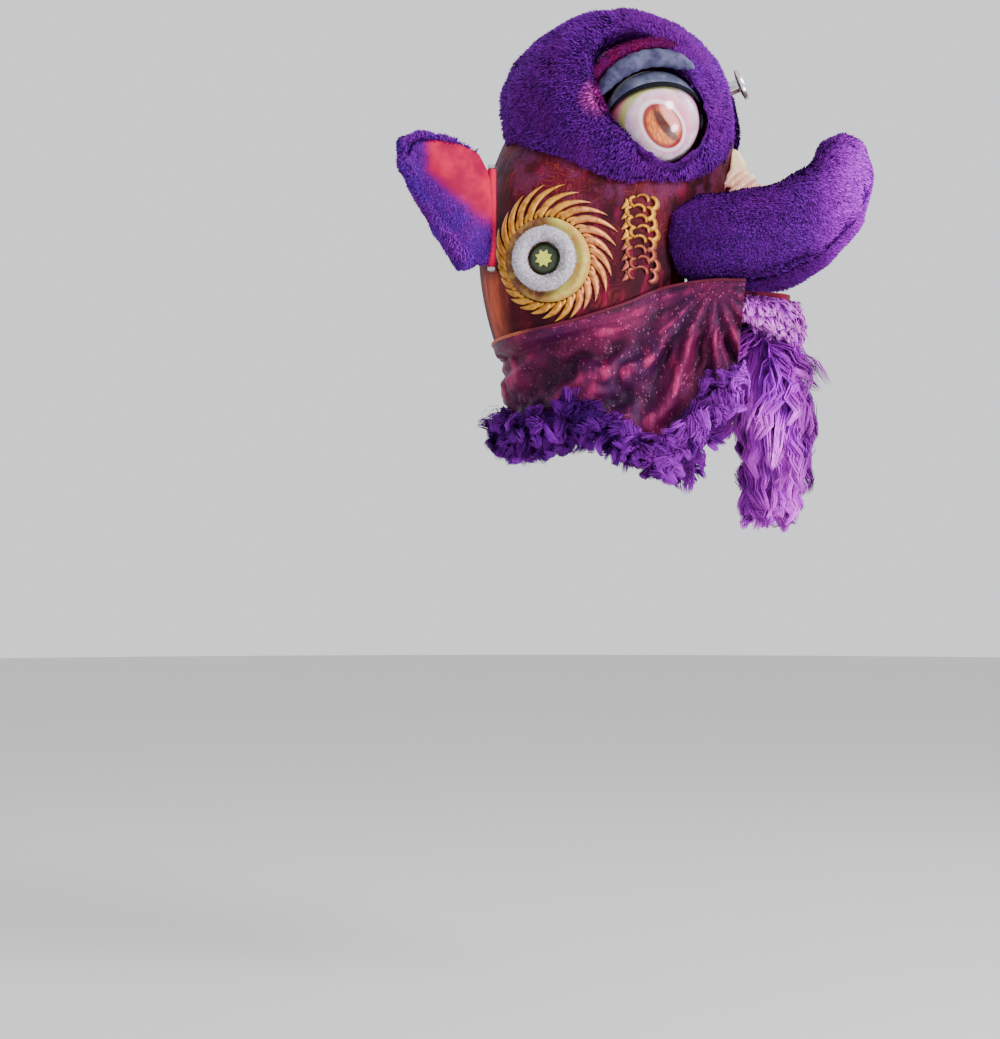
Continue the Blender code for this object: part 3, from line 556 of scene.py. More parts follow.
def surfaceSpots(base, count, rng, keep=None):
    mesh = base.data
    mesh.calc_loop_triangles()
    corners = np.empty(len(mesh.loop_triangles) * 3, int)
    mesh.loop_triangles.foreach_get("vertices", corners)
    corners = corners.reshape(-1, 3)
    points = readPoints(mesh)
    normals = np.empty(len(points) * 3)
    mesh.vertices.foreach_get("normal", normals)
    normals = normals.reshape(-1, 3)
    a, b, c = (points[corners[:, k]] for k in range(3))
    area = np.linalg.norm(np.cross(b - a, c - a), axis=1) / 2
    if keep is not None:
        middle = (a + b + c) / 3
        area = area * keep(middle, unit(normals[corners].sum(1)))
    pick = rng.choice(len(area), count, p=area / area.sum())
    u, v = rng.random(count), rng.random(count)
    flip = u + v > 1
    u[flip], v[flip] = 1 - u[flip], 1 - v[flip]
    w = 1 - u - v
    chosen = corners[pick]

    def blend(values):
        return sum(share[:, None] * values[chosen[:, k]] for k, share in enumerate((u, v, w)))

    return blend(points), unit(blend(normals)), area.sum()


def strandPaths(rng, look, roots, out, comb):
    count, steps = look["count"], look["steps"]
    flow = comb(roots, out)
    flow = unit(flow - out * (flow * out).sum(1, keepdims=True) + 1e-6)
    swirl = look["swirl"] * ripple(roots, look["patch"], look["seed"] + 5)
    swirl = swirl + rng.normal(0, look["stray"], count)
    turned = np.cross(out, flow)
    flow = flow * np.cos(swirl)[:, None] + turned * np.sin(swirl)[:, None]
    low, high = look["length"]
    uneven = 1 + 0.25 * ripple(roots, look["patch"] * 1.4, look["seed"] + 9)
    long = rng.uniform(low, high, count) * uneven
    if "floor" in look:  # nothing hangs below this height
        room = (roots[:, 2] - look["floor"]) * (0.80 + 0.20 * ripple(roots, 0.045, look["seed"] + 3))
        long = np.minimum(long, np.maximum(room, strandLook["shortest"]))
    lean = look["lean"] + rng.normal(0, strandLook["leanStray"], count)
    path = np.empty((count, steps + 1, 3))
    path[:, 0] = roots - out * strandLook["rootDepth"]
    for k in range(steps):
        share = (k + 0.5) / steps
        angle = lean * (0.55 + 0.65 * share)
        way = out * np.cos(angle)[:, None] + flow * np.sin(angle)[:, None]
        way[:, 2] -= look["droop"] * share
        path[:, k + 1] = path[:, k] + unit(way) * (long / steps)[:, None]
    return path, flow


def gatherLocks(rng, look, path, roots, out, flow):  # pulls strands to a leader and curls them
    count = look["count"]
    share = np.linspace(0, 1, look["steps"] + 1)
    leaders = rng.choice(count, look["clumps"], replace=False)
    tree = KDTree(len(leaders))
    for i, spot in enumerate(roots[leaders]):
        tree.insert(spot, i)
    tree.balance()
    nearest = leaders[[tree.find(spot)[1] for spot in roots]]
    curl = rng.uniform(0.6, 1.4, count)[nearest]
    phase = rng.uniform(0, math.tau, count)[nearest]
    pull = (look["gather"] * share ** 1.3)[None, :, None]
    path += (path[nearest] - path) * pull
    if look["curl"]:
        first = unit(np.cross(flow, out))[nearest]
        turn = phase[:, None] + math.tau * look["turns"] * curl[:, None] * share[None, :]
        opening = np.minimum(share * 2.2, 1)[None, :] * (1 - 0.35 * share)[None, :]
        wide = look["curl"] * curl[:, None] * opening
        path += first[:, None] * (wide * np.cos(turn))[..., None]
        path += out[nearest][:, None] * (wide * np.sin(turn))[..., None]
    return 0.65 * rng.random(count)[nearest] + 0.35 * rng.random(count)


def growPile(name, base, look, comb, keep=None):
    rng = np.random.default_rng(look["seed"])
    count, steps = look["count"], look["steps"]
    roots, out, area = surfaceSpots(base, count, rng, keep)
    path, flow = strandPaths(rng, look, roots, out, comb)
    tint = gatherLocks(rng, look, path, roots, out, flow) if look["clumps"] else rng.random(count)
    share = np.linspace(0, 1, steps + 1)
    ahead = unit(np.diff(path, axis=1))
    ahead = np.concatenate([ahead, ahead[:, -1:]], axis=1)
    spread = unit(np.cross(ahead, out[:, None]))
    lift = np.cross(spread, ahead)
    roll = rng.normal(0, look["roll"], count)[:, None, None]
    spread = spread * np.cos(roll) + lift * np.sin(roll)
    narrow = (1 - 0.5 * share ** 1.5)[None, :, None]
    wide = look["width"] * rng.uniform(0.7, 1.2, count)[:, None, None] * narrow
    left, right = path - spread * wide / 2, path + spread * wide / 2
    points = np.concatenate([left[:, :-1], right[:, :-1], path[:, -1:]], axis=1)
    pattern = []  # the faces of one strand, which end in a point
    for k in range(steps - 1):
        pattern += [(k, steps + k, steps + k + 1), (k, steps + k + 1, k + 1)]
    pattern.append((steps - 1, 2 * steps - 1, 2 * steps))
    per = 2 * steps + 1
    corners = (np.array(pattern)[None] + per * np.arange(count)[:, None, None]).reshape(-1)
    own = np.concatenate([lift, lift, lift[:, :1]], 1)[:, :per]
    shade = unit(out[:, None] * look["round"] + own * (1 - look["round"]))
    mesh = bpy.data.meshes.new(name)
    mesh.vertices.add(count * per)
    mesh.vertices.foreach_set("co", points.reshape(-1))
    mesh.loops.add(len(corners))
    mesh.loops.foreach_set("vertex_index", corners)
    mesh.polygons.add(len(corners) // 3)
    mesh.polygons.foreach_set("loop_start", np.arange(0, len(corners), 3))
    mesh.update(calc_edges=True)
    along = np.concatenate([share[:-1], share[:-1], share[-1:]])
    for key, values in (("along", np.tile(along, count)), ("tint", np.repeat(tint, per))):
        mesh.attributes.new(key, "FLOAT", "POINT").data.foreach_set("value", values)
    mesh.normals_split_custom_set_from_vertices(shade.reshape(-1, 3))
    piece = bpy.data.objects.new(name, mesh)
    bpy.context.scene.collection.objects.link(piece)
    print(name, "area", round(area, 3), "strands", count, "faces", len(mesh.polygons))
    return piece


def furPaint(name, look, pile=True):
    sheen = (*look.get("sheen", (0.60, 0.06, 1.0)), 1.0)
    paint = Paint(name, Roughness=0.70, Sheen_Weight=0.10, Sheen_Roughness=0.5, Sheen_Tint=sheen,
                  Specular_IOR_Level=0.04)
    where = paint.place()
    patches = paint.noise(where, look.get("spot", 9.0), 3, 0.6).over(0.42, 0.62)
    fine = paint.noise(where, 260, 2, 0.6)
    if pile:
        along, tint = paint.attribute("along"), paint.attribute("tint")
        # darker towards the root: partly the fur's own colour, partly painted shade among the strands
        colour = paint.mix(along.over(0.0, 0.8), look["root"], look["middle"])
        colour = paint.mix(along.over(0.40, 1.0) * (0.25 + 0.75 * tint), colour, look["tip"])
        colour = paint.mix(patches * (0.25 + 0.45 * tint), colour, look["patch"])
    else:
        tint = fine
        # the backing takes the dark root colour: painted shade in the gaps between strands
        colour = paint.mix(fine.over(0.35, 0.7), look["root"], look["middle"])
        colour = paint.mix(patches * 0.4, colour, look["patch"])
    for key, low, high, highlightAndLock in look.get("highlightAndLock", ()):  # painted highlight at the front of the bill and hem fur; the beard's front lock is darker
        part = paint.split(where, key).over(low, high)
        colour = paint.mix(part * (0.35 + 0.5 * tint), colour, highlightAndLock)
    # pink trim with a painted highlight on it, at the brow's rear edge by the eye
    if "pinkHighlight" in look:
        (backward, height), reach, pink = look["pinkHighlight"]
        far = ((paint.split(where, "Y") - backward) ** 2 + (paint.split(where, "Z") - height) ** 2) ** 0.5
        colour = paint.mix(far.over(reach, 0.3 * reach) * (0.30 + 0.6 * tint), colour, pink)
    bright = 0.55 + 0.75 * tint
    grey = paint.add("CombineXYZ", {}, {0: bright, 1: bright, 2: bright})
    colour = paint.mix(1.0, colour, grey, "MULTIPLY")
    if pile:
        return paint.finish(colour)
    return paint.finish(colour, bump=fine, strength=0.8, depth=0.002)


furLook = {
    # the violet brow fur's last entry is pink trim with a painted highlight, behind and above the eye
    "violet": {"root": (0.010, 0.0004, 0.034), "middle": (0.074, 0.0018, 0.180),
               "tip": (0.180, 0.0055, 0.370), "patch": (0.110, 0.0014, 0.170),
               "pinkHighlight": ((0.052, 0.316), 0.042, (0.560, 0.060, 0.420))},
    # the bill fur has a painted highlight on its front tip
    "bill": {"root": (0.010, 0.0004, 0.034), "middle": (0.068, 0.0014, 0.165), "tip": (0.160, 0.0045, 0.330),
             "patch": (0.095, 0.0012, 0.170), "highlightAndLock": (("Y", -0.300, -0.425, (0.460, 0.018, 0.720)),)},
    "ear": {"root": (0.014, 0.0004, 0.060), "middle": (0.120, 0.003, 0.270), "tip": (0.280, 0.015, 0.480),
            "patch": (0.026, 0.006, 0.320), "spot": 16.0},
    # the hem fur has a painted highlight on its front
    "hem": {"root": (0.012, 0.0004, 0.038), "middle": (0.110, 0.0022, 0.230),
            "tip": (0.300, 0.012, 0.540), "patch": (0.030, 0.0010, 0.110), "spot": 14.0,
            "highlightAndLock": (("Y", 0.04, -0.13, (0.560, 0.036, 0.860)),)},
    "beard": {"root": (0.120, 0.001, 0.260), "middle": (0.640, 0.012, 0.860), "tip": (0.940, 0.170, 0.980),
              "patch": (0.300, 0.004, 0.560), "spot": 17.0, "sheen": (0.9, 0.1, 1.0),
              "highlightAndLock": (("Y", -0.286, -0.312, (0.006, 0.008, 0.050)),)},
    "fringe": {"root": (0.200, 0.006, 0.300), "middle": (0.660, 0.070, 0.760), "tip": (0.960, 0.420, 0.950),
               "patch": (0.300, 0.010, 0.500), "spot": 20.0, "sheen": (0.9, 0.3, 1.0)},
    "crease": {"root": (0.020, 0.0004, 0.016), "middle": (0.120, 0.0014, 0.050), "tip": (0.270, 0.005, 0.110),
               "patch": (0.080, 0.0010, 0.110), "spot": 30.0},
    "white": {"root": (0.30, 0.27, 0.31), "middle": (0.62, 0.59, 0.65), "tip": (0.90, 0.88, 0.93),
              "patch": (0.52, 0.48, 0.60), "sheen": (1, 1, 1)},
}
furPaints = {}
for key, look in furLook.items():
    furPaints[key] = furPaint(key + " pile", look), furPaint(key + " backing", look, pile=False)

plainPile = {"droop": 0.2, "swirl": 0.4, "clumps": 0, "gather": 0, "curl": 0, "turns": 0}
pileLook = {
    "brow": {**plainPile, "count": 29000, "length": (0.008, 0.012), "width": 0.0029, "steps": 2, "lean": 0.95,
             "droop": 0.10, "swirl": 0.5, "stray": 0.35, "patch": 0.07, "roll": 0.5, "round": 0.86,
             "seed": 11},
    "bill": {**plainPile, "count": 36000, "length": (0.007, 0.010), "width": 0.0029, "steps": 2, "lean": 1.0,
             "droop": 0.15, "stray": 0.35, "patch": 0.08, "roll": 0.5, "round": 0.88, "seed": 21},
    "ear": {**plainPile, "count": 9500, "length": (0.006, 0.010), "width": 0.0027, "steps": 2, "lean": 1.0,
            "stray": 0.25, "patch": 0.05, "roll": 0.4, "round": 0.84, "seed": 31},
    "nap": {**plainPile, "count": 3600, "length": (0.005, 0.008), "width": 0.0028, "steps": 2, "lean": 1.1,
            "stray": 0.3, "patch": 0.05, "roll": 0.4, "round": 0.84, "seed": 37},
    "jaw": {"count": 9000, "length": (0.014, 0.026), "width": 0.0026, "steps": 3, "lean": 1.0, "droop": 0.6,
            "swirl": 0.4, "stray": 0.3, "patch": 0.05, "clumps": 500, "gather": 0.7, "curl": 0.004,
            "turns": 0.8, "roll": 0.5, "round": 0.76, "seed": 41},
    "hem": {"count": 18000, "length": (0.030, 0.050), "width": 0.0024, "steps": 4, "lean": 0.9, "droop": 0.7,
            "swirl": 1.1, "stray": 0.2, "patch": 0.07, "clumps": 360, "gather": 0.72, "curl": 0.0115,
            "turns": 1.3, "roll": 0.4, "round": 0.62, "seed": 51},
    "beard": {"count": 13000, "length": (0.085, 0.130), "width": 0.0029, "steps": 5, "lean": 1.30,
              "droop": 1.3, "swirl": 0.35, "stray": 0.12, "patch": 0.08, "clumps": 150, "gather": 0.80,
              "curl": 0.0085, "turns": 1.9, "roll": 0.35, "round": 0.62, "seed": 61, "floor": -0.452},
    "ring": {**plainPile, "count": 4000, "length": (0.003, 0.005), "width": 0.0014, "steps": 2, "lean": 0.8,
             "droop": 0.0, "swirl": 0.8, "stray": 0.8, "patch": 0.02, "roll": 0.6, "round": 0.84, "seed": 71},
}
browEdge = 0.0985  # the brow's pile keeps this far from the eye's centre


def offForm(points, out):  # 1 where the fur isn't against the shell
    return (formShare(points + out * 0.012) > 1.0).astype(float)


def offEye(points, out):  # none against the shell or beside the eyeballs
    away = [np.linalg.norm(points - np.array(eyeFrame(side)[0]), axis=1) for side in (-1, 1)]
    return offForm(points, out) * (np.min(away, axis=0) > browEdge)


def furred(node, lookName, paints, comb, soft, body="head", keep=None, seed=0):
    base = softBase(node, node + "_pad", **soft)
    look = dict(pileLook[lookName])
    look["seed"] += seed
    pile = growPile(node + "_pile", base, look, comb, keep)
    dress(base, furPaints[paints][1], body, (node,), angle=80)
    dress(pile, furPaints[paints][0], body, angle=0)


def combFrom(centre, down=0.35, back=0.0):
    def comb(points, out):
        away = unit(points - np.array(centre))
        return away + np.array((0, back, -down))
    return comb


def combAlong(vector):
    def comb(points, out):
        return np.tile(np.array(vector, float), (len(points), 1))
    return comb


print("materials for fur")

for side, hand in ((-1, "right"), (1, "left")):
    eyeAt, earAt = eyeFrame(side)[0], (side * 0.27, 0.31, 0.13)
    furred("brow_fur_" + hand, "brow", "violet", combFrom(eyeAt, 0.45, 0.25), keep=offEye, seed=side + 1,
           soft={"voxel": 0.008, "rounds": 7, "inset": 0.006, "wave": 0.0022, "size": 0.05})
    furred("ear_fur_" + hand, "ear", "ear", combFrom(earAt, 0.5), body="ear_" + hand, seed=side,
           soft={"voxel": 0.005, "rounds": 8, "inset": 0.005, "wave": 0.0015})
furred("bill_fur", "bill", "bill", combFrom((0, 0.05, 0.12), 0.25), keep=offForm,
       soft={"voxel": 0.008, "rounds": 12, "inset": 0.004, "wave": 0.002, "size": 0.06})
furred("jaw_fur", "jaw", "fringe", combFrom((0, -0.10, 0.08), 0.8), body="jaw",
       soft={"voxel": 0.005, "inset": 0.006})
furred("hem_fur", "hem", "hem", combAlong((0, 0, -1)),
       soft={"voxel": 0.007, "rounds": 6, "inset": 0.010, "wave": 0.006, "size": 0.055})
furred("beard", "beard", "beard", combAlong((0, 0, -1)), body="jaw",
       soft={"rounds": 4, "inset": 0.012, "wave": 0.004, "size": 0.05})
print("fur")

# painted shell


shellLook = {
    "dark": (0.018, 0.0008, 0.005),
    "maroon": (0.085, 0.0010, 0.013),
    "streak": (0.24, 0.0026, 0.045),
    "brocade": (0.090, 0.010, 0.055),
    "bronze": (0.24, 0.048, 0.016),
    "salmon": (0.42, 0.070, 0.030),
}


def shellPaint():
    paint = Paint("lacquered shell", Specular_IOR_Level=0.10)
    where = paint.place()
    broad = paint.noise(where, 7, 4, 0.6)
    streaks = paint.noise(paint.place(scale=(1, 1, 0.25)), 42, 4, 0.65)
    scrolls = paint.cells(paint.place(scale=(1, 1, 0.8)), 46, "SMOOTH_F1")
    rings = paint.sum("SINE", scrolls * 60, 0)
    flecks = paint.cells(where, 190)
    colour = paint.mix(broad.over(0.35, 0.66), shellLook["dark"], shellLook["maroon"])
    colour = paint.mix(streaks.over(0.52, 0.74) * 0.6, colour, shellLook["streak"])
    across, forward, height = (paint.split(where, axis) for axis in ("X", "Y", "Z"))
    upper = height.over(0.09, 0.17) * paint.noise(where, 26, 3, 0.6).over(0.46, 0.60)
    colour = paint.mix(upper * 0.75, colour, shellLook["brocade"])
    scrolled = rings.over(0.20, 0.95) * broad.over(0.40, 0.60) * 0.35
    colour = paint.mix(scrolled, colour, shellLook["bronze"])
    sides = paint.sum("ABSOLUTE", across, 0).over(0.110, 0.175)
    rear = forward.over(0.205, 0.245) * (1 - height.over(-0.005, 0.035)) * sides
    colour = paint.mix(rear * (0.45 + 0.5 * streaks.over(0.4, 0.6)), colour, shellLook["salmon"])
    colour = paint.mix(flecks.over(0.10, 0.03) * 0.30, colour, shellLook["bronze"])
    rough = 0.50 + 0.24 * streaks
    bump = streaks + 0.3 * flecks + 0.25 * rings
    return paint.finish(colour, rough, bump=bump, strength=0.25, depth=0.0012)


shell = dress(makeShell(), shellPaint(), "head", ("head_shell",), angle=35)
print("shell")

# eyes and lids

irisLook = {
    "way": (0.918, -0.301, -0.256),
    "tall": 0.53,
    "wide": 0.38,
    "tilt": 0.70,
    "white": (0.80, 0.72, 0.77),
    "lilac": (0.62, 0.40, 0.58),
    "lime": (0.40, 0.44, 0.07),
    "pink": (0.66, 0.12, 0.25),
    "red": (0.28, 0.010, 0.010),
    "orange": (0.74, 0.24, 0.03),
    "amber": (0.46, 0.09, 0.012),
    "dark": (0.040, 0.002, 0.004),
    "glintPink": (0.80, 0.30, 0.28),
}


def eyePaint(side):
    hand = "right" if side < 0 else "left"
    paint = Paint("eye enamel " + hand, Coat_Weight=0.6, Coat_Roughness=0.05)
    centre = eyeFrame(side)[0]
    away = Vector((irisLook["way"][0] * side, *irisLook["way"][1:])).normalized()
    level = Vector((0, 0, 1)).cross(away).normalized() * side
    level = -level if level.y > 0 else level
    up = away.cross(level).normalized()
    up = up if up.z > 0 else -up
    tilt = irisLook["tilt"]
    long = up * math.cos(tilt) - level * math.sin(tilt)
    short = level * math.cos(tilt) + up * math.sin(tilt)
    spot = paint.add("VectorMath", {"operation": "NORMALIZE"}, {0: paint.place(centre=tuple(centre))})

    def dot(way):
        return paint.add("VectorMath", {"operation": "DOT_PRODUCT"}, {0: spot, 1: tuple(way)}, "Value")

    tall, wide = dot(long), dot(short)
    far = ((tall / irisLook["tall"]) ** 2 + (wide / irisLook["wide"]) ** 2) ** 0.5
    reach = (tall ** 2 + wide ** 2) ** 0.5
    front = dot(away).over(-0.1, 0.1)
    far = far + (1 - front) * 9
    reach = reach + (1 - front)
    drawn = paint.add("Mapping", {}, {"Vector": spot, "Rotation": (0, 0, 0.3), "Scale": (1, 1, 0.3)})
    grain = paint.noise(drawn, 22, 4, 0.6)
    wash = paint.noise(spot, 3.2, 3, 0.5)
    white = paint.mix(wash.over(0.36, 0.64), irisLook["white"], irisLook["lilac"])
    # painted pink highlight on the front side of the white
    pinkHighlight = wide.over(0.12, 0.50) * (1 - reach.over(0.55, 0.85))
    white = paint.mix(pinkHighlight * 0.7, white, irisLook["pink"])
    high = (dot(up) * 0.7 - dot(level) * 0.7).over(0.15, 0.45)
    white = paint.mix(reach.over(0.74, 0.80) * high * 0.85, white, irisLook["lime"])
    white = paint.mix(reach.over(0.86, 0.93) * 0.8, white, irisLook["pink"])
    colour = paint.mix(far.over(1.55, 1.15) * 0.45, white, irisLook["pink"])
    colour = paint.mix(far.over(1.24, 1.14) * 0.8, colour, irisLook["white"])
    colour = paint.mix(far.over(1.06, 0.96), colour, irisLook["red"])
    iris = paint.mix(grain.over(0.42, 0.60), irisLook["amber"], irisLook["orange"])
    colour = paint.mix(far.over(0.90, 0.70), colour, iris)
    slit = ((tall / 0.46) ** 2 + ((wide - 0.02 - 0.25 * tall * tall) / 0.100) ** 2) ** 0.5
    colour = paint.mix(slit.over(1.30, 0.70) * 0.95, colour, irisLook["dark"])
    # painted highlight on the front of the iris
    glint = (((tall - 0.06) / 0.36) ** 2 + ((wide - 0.24) / 0.120) ** 2) ** 0.5
    colour = paint.mix(glint.over(1.20, 0.70) * 0.85, colour, irisLook["glintPink"])
    return paint.finish(colour, rough=0.14 + 0.10 * grain, bump=grain, strength=0.06, depth=0.001)


def lidPaint():
    paint = Paint("silver lid", Coat_Weight=0.3, Coat_Roughness=0.2)
    where = paint.place()
    cloud = paint.noise(where, 30, 4, 0.6)
    fine = paint.noise(where, 420, 2, 0.5)
    colour = paint.mix(cloud.over(0.36, 0.66), (0.075, 0.085, 0.165), (0.19, 0.205, 0.32))
    return paint.finish(colour, rough=0.30 + 0.25 * cloud, bump=fine, strength=0.15, depth=0.0005,
                        metal=0.20 + 0.25 * fine)


def plainPaint(name, colour, darker, rough=0.4, metallic=0.0, scale=60, wear=0.5, bump=0.2, **fixed):
    paint = Paint(name, **fixed)
    where = paint.place()
    cloud = paint.noise(where, scale, 4, 0.62)
    fine = paint.noise(where, scale * 9, 2, 0.5)
    tone = paint.mix(cloud.over(0.34, 0.68) * wear, colour, darker)
    metal = metallic * (0.9 + 0.1 * fine) if metallic else 0.0
    return paint.finish(tone, rough=rough * (0.8 + 0.4 * cloud), bump=cloud + 0.35 * fine, strength=bump,
                        depth=0.0008, metal=metal)


lashPaint = plainPaint("lash thread", (0.004, 0.005, 0.008), (0.010, 0.010, 0.014), 0.7, scale=200,
                       Specular_IOR_Level=0.08)
hoodPaint = plainPaint("hood satin", (0.085, 0.090, 0.170), (0.016, 0.014, 0.050), 0.6, scale=32, wear=0.95,
                       Specular_IOR_Level=0.15)


def makeEye(side, hand):
    centre, look, axis = eyeFrame(side)
    reach, thin = eyeLook["pin"]
    near, far, thick = eyeLook["post"]
    ball = ballAt("eye_" + hand, centre, eyeLook["ball"], 72, 36, look)
    pin = tubePiece("pin", [centre - axis * reach, centre + axis * reach], thin, 12)
    post = tubePiece("post", [centre - look * near, centre - look * far], thick, 12)
    eye = joined("eyeball_skin_" + hand, [ball, pin, post])
    dress(eye, eyePaint(side), "head", ("eyeball_" + hand,))


def lidPoint(side, reach, turn, radius):
    centre, look, axis = eyeFrame(side)
    across = look * math.cos(turn) + Vector((0, 0, 1)) * math.sin(turn)
    return centre + (axis * math.sin(reach) + across * math.cos(reach)) * radius


def makeLid(side, hand):
    centre, look, axis = eyeFrame(side)
    reaches = np.linspace(-eyeLook["lidReach"], eyeLook["lidReach"], 41)
    turns = np.linspace(eyeLook["lidLow"], eyeLook["lidHigh"], 15)
    inner, outer = eyeLook["lid"]
    rings = []
    for reach in reaches:
        ring = [lidPoint(side, reach, turn, outer) for turn in turns]
        ring += [lidPoint(side, reach, turn, inner) for turn in turns[::-1]]
        rings.append(ring)
    hole, radius, deep = eyeLook["boss"]
    edge = eyeLook["bossEdge"]
    profile = [(hole, 0), (radius - edge, 0), (radius, edge), (radius, deep - edge), (radius - edge, deep),
               (hole, deep), (hole, 0)]
    parts = [loftPiece("lid", rings)]
    for at in eyeLook["bossAt"]:
        parts.append(spinPiece("boss", profile, centre + axis * at, axis, 24))
    lid = joined("lid_skin_" + hand, parts)
    dress(lid, lidPaint(), "lid_" + hand, ("eyelid_" + hand,))
    most = eyeLook["lashReach"]
    reaches = np.linspace(-most, most, 44)
    taper = [1.0 - 0.45 * abs(reach / most) ** 3 for reach in reaches]
    lashes = []
    for drop, thick in eyeLook["lashes"]:
        turn, radius = eyeLook["lidLow"] + drop, outer - eyeLook["lashSink"]
        line = [lidPoint(side, reach, turn, radius) for reach in reaches]
        lashes.append(tubePiece("lash", line, thick, 8, taper=taper))
    dress(joined("lid_lash_" + hand, lashes), lashPaint, "lid_" + hand)


rollLook = {  # padded rolls over the lid: turn, distance, thickness, rear and front reach
    "hood": (1.20, 0.1140, 0.0165, -1.20, 0.62),
    "fold": (1.36, 0.1370, 0.0110, -1.12, 0.30),
}


def makeRolls(side, hand):
    for key, (turn, radius, thick, rear, front) in rollLook.items():
        steps = np.linspace(-1, 1, 40)
        middle, half = (rear + front) / 2, (front - rear) / 2
        line = [lidPoint(side, middle + half * step, turn, radius) for step in steps]
        ends = np.sqrt(np.maximum(1 - np.abs(steps) ** 3, 0.01))
        taper = ends * (1 + 0.05 * np.sin(steps * 31))
        roll = tubePiece("brow_" + key + "_" + hand, line, thick, 20, taper=taper)
        if key == "fold":
            comb = combAlong((0, 0.6, -0.6))
            pile = growPile("brow_fold_pile_" + hand, roll, pileLook["nap"], comb)
            dress(pile, furPaints["crease"][0], "head", angle=0)
        dress(roll, hoodPaint if key == "hood" else furPaints["crease"][1], "head", angle=80)


for side, hand in ((-1, "right"), (1, "left")):
    makeEye(side, hand)
    makeLid(side, hand)
    makeRolls(side, hand)
print("eyes and lids")

# cheek ornament

cheekLook = {
    "forward": -0.141,
    "height": 0.033,
    "turn": math.radians(-6),
    "boss": 0.0745,
    "bossHeight": 0.012,
    "bossDepth": 0.018,
    # the rim's profile: distance in from the edge, and rise
    "bossRim": ((0, 0.006), (0.0008, 0.0085), (0.003, 0.0108), (0.006, 0.0118), (0.011, 0.0112),
                (0.013, 0.0100)),
    "dish": (0.03, 0.0100),
    "dome": ((0, 0.0004), (0.0275, 0.0004), (0.0272, 0.004), (0.0255, 0.008), (0.0220, 0.0112),
             (0.0150, 0.0130), (0.008, 0.0135), (0, 0.0136)),
    "starBevel": 0.0008,
    "ring": (0.0435, 0.0138, 0.0125),  # middle radius, half width and half height
    "ringLift": 0.0008,
    "tongues": 25,  # of each length
    "tongueGap": 0.0015,
    "tongueRoot": 0.006,
    "tongueLead": 0.16,
    "tongueBend": (0.20, 7.0),  # at no length, and more for each metre of it
    "shortShare": 0.42,
    "longTongue": (0.0052, 0.0066),  # half width and height
    "shortTongue": (0.0030, 0.0040),
    "lengths": (0.034, 0.048, 0.056, 0.050, 0.014, 0.010, 0.022, 0.030, 0.034),
    "gold": (0.62, 0.30, 0.035),
    "shade": (0.26, 0.070, 0.010),
    "peach": (0.66, 0.27, 0.10),
    "copper": (0.30, 0.070, 0.055),
}


def leafPaint():
    paint = Paint("gold leaf", Specular_IOR_Level=0.4)
    where = paint.place()
    cloud = paint.noise(where, 90, 4, 0.62)
    fine = paint.noise(where, 700, 2, 0.5)
    backward, height = paint.split(where, "Y"), paint.split(where, "Z")
    middle = backward.over(0.115, 0.075) * backward.over(0.008, 0.030)
    gold = paint.mix(middle, cheekLook["gold"], cheekLook["peach"])
    low = height.over(0.075, 0.050) * backward.over(0.030, 0.010)
    gold = paint.mix(low, gold, cheekLook["copper"])
    colour = paint.mix(cloud.over(0.42, 0.66) * 0.75, gold, cheekLook["shade"])
    return paint.finish(colour, rough=0.34 + 0.2 * cloud, bump=cloud + 0.3 * fine, strength=0.3,
                        depth=0.0008, metal=0.45 + 0.15 * fine)


def dishPaint():
    paint = Paint("dish paint", Specular_IOR_Level=0.3)
    where = paint.place()
    cloud = paint.noise(where, 60, 4, 0.62)
    lime = paint.mix(cloud.over(0.40, 0.64), (0.50, 0.46, 0.09), (0.52, 0.27, 0.06))
    dark = paint.mix(cloud.over(0.40, 0.64), (0.13, 0.040, 0.016), (0.30, 0.17, 0.03))
    ahead = paint.split(where, "Y").over(0.150, 0.115)
    colour = paint.mix(ahead, dark, lime)
    return paint.finish(colour, rough=0.45 + 0.2 * cloud, bump=cloud, strength=0.3, depth=0.0008)


goldPaint, bossPaint = leafPaint(), dishPaint()
limePaint = plainPaint("lime paint", (0.56, 0.60, 0.06), (0.34, 0.36, 0.03), 0.4, scale=120, Coat_Weight=0.2)
greenPaint = plainPaint("dark green paint", (0.030, 0.050, 0.018), (0.012, 0.018, 0.010), 0.45, scale=120,
                        Coat_Weight=0.2)


def cheekFrame(side):
    across = float(formSide(cheekLook["forward"], cheekLook["height"]))
    turn = cheekLook["turn"]
    centre = Vector((side * across, -cheekLook["forward"], cheekLook["height"]))
    out = Vector((side * math.cos(turn), -math.sin(turn), 0))
    ahead = Vector((-side * math.sin(turn), -math.cos(turn), 0))
    return centre, out, ahead


def cheekSpot(side, forward, height, lift):
    return np.stack([side * (formSide(forward, height) + lift), -forward, height], -1)


def tongueRings(side, spine, wide, tall):  # a raised strip that lies on the cheek
    spine = np.asarray(spine)
    ahead = np.gradient(spine, axis=0)
    ahead /= np.linalg.norm(ahead, axis=1, keepdims=True)
    normal = np.stack([-ahead[:, 1], ahead[:, 0]], 1)
    rings = []
    for k, spot in enumerate(spine):
        ring = []
        for turn in np.linspace(0, math.pi, 7):
            at = spot + normal[k] * wide[k] * math.cos(turn)
            ring.append(cheekSpot(side, at[0], at[1], 0.0002 + tall[k] * math.sin(turn)))
        for share in (0.5, -0.5):
            at = spot - normal[k] * wide[k] * share
            ring.append(cheekSpot(side, at[0], at[1], 0.0001))
        rings.append(ring)
    return rings


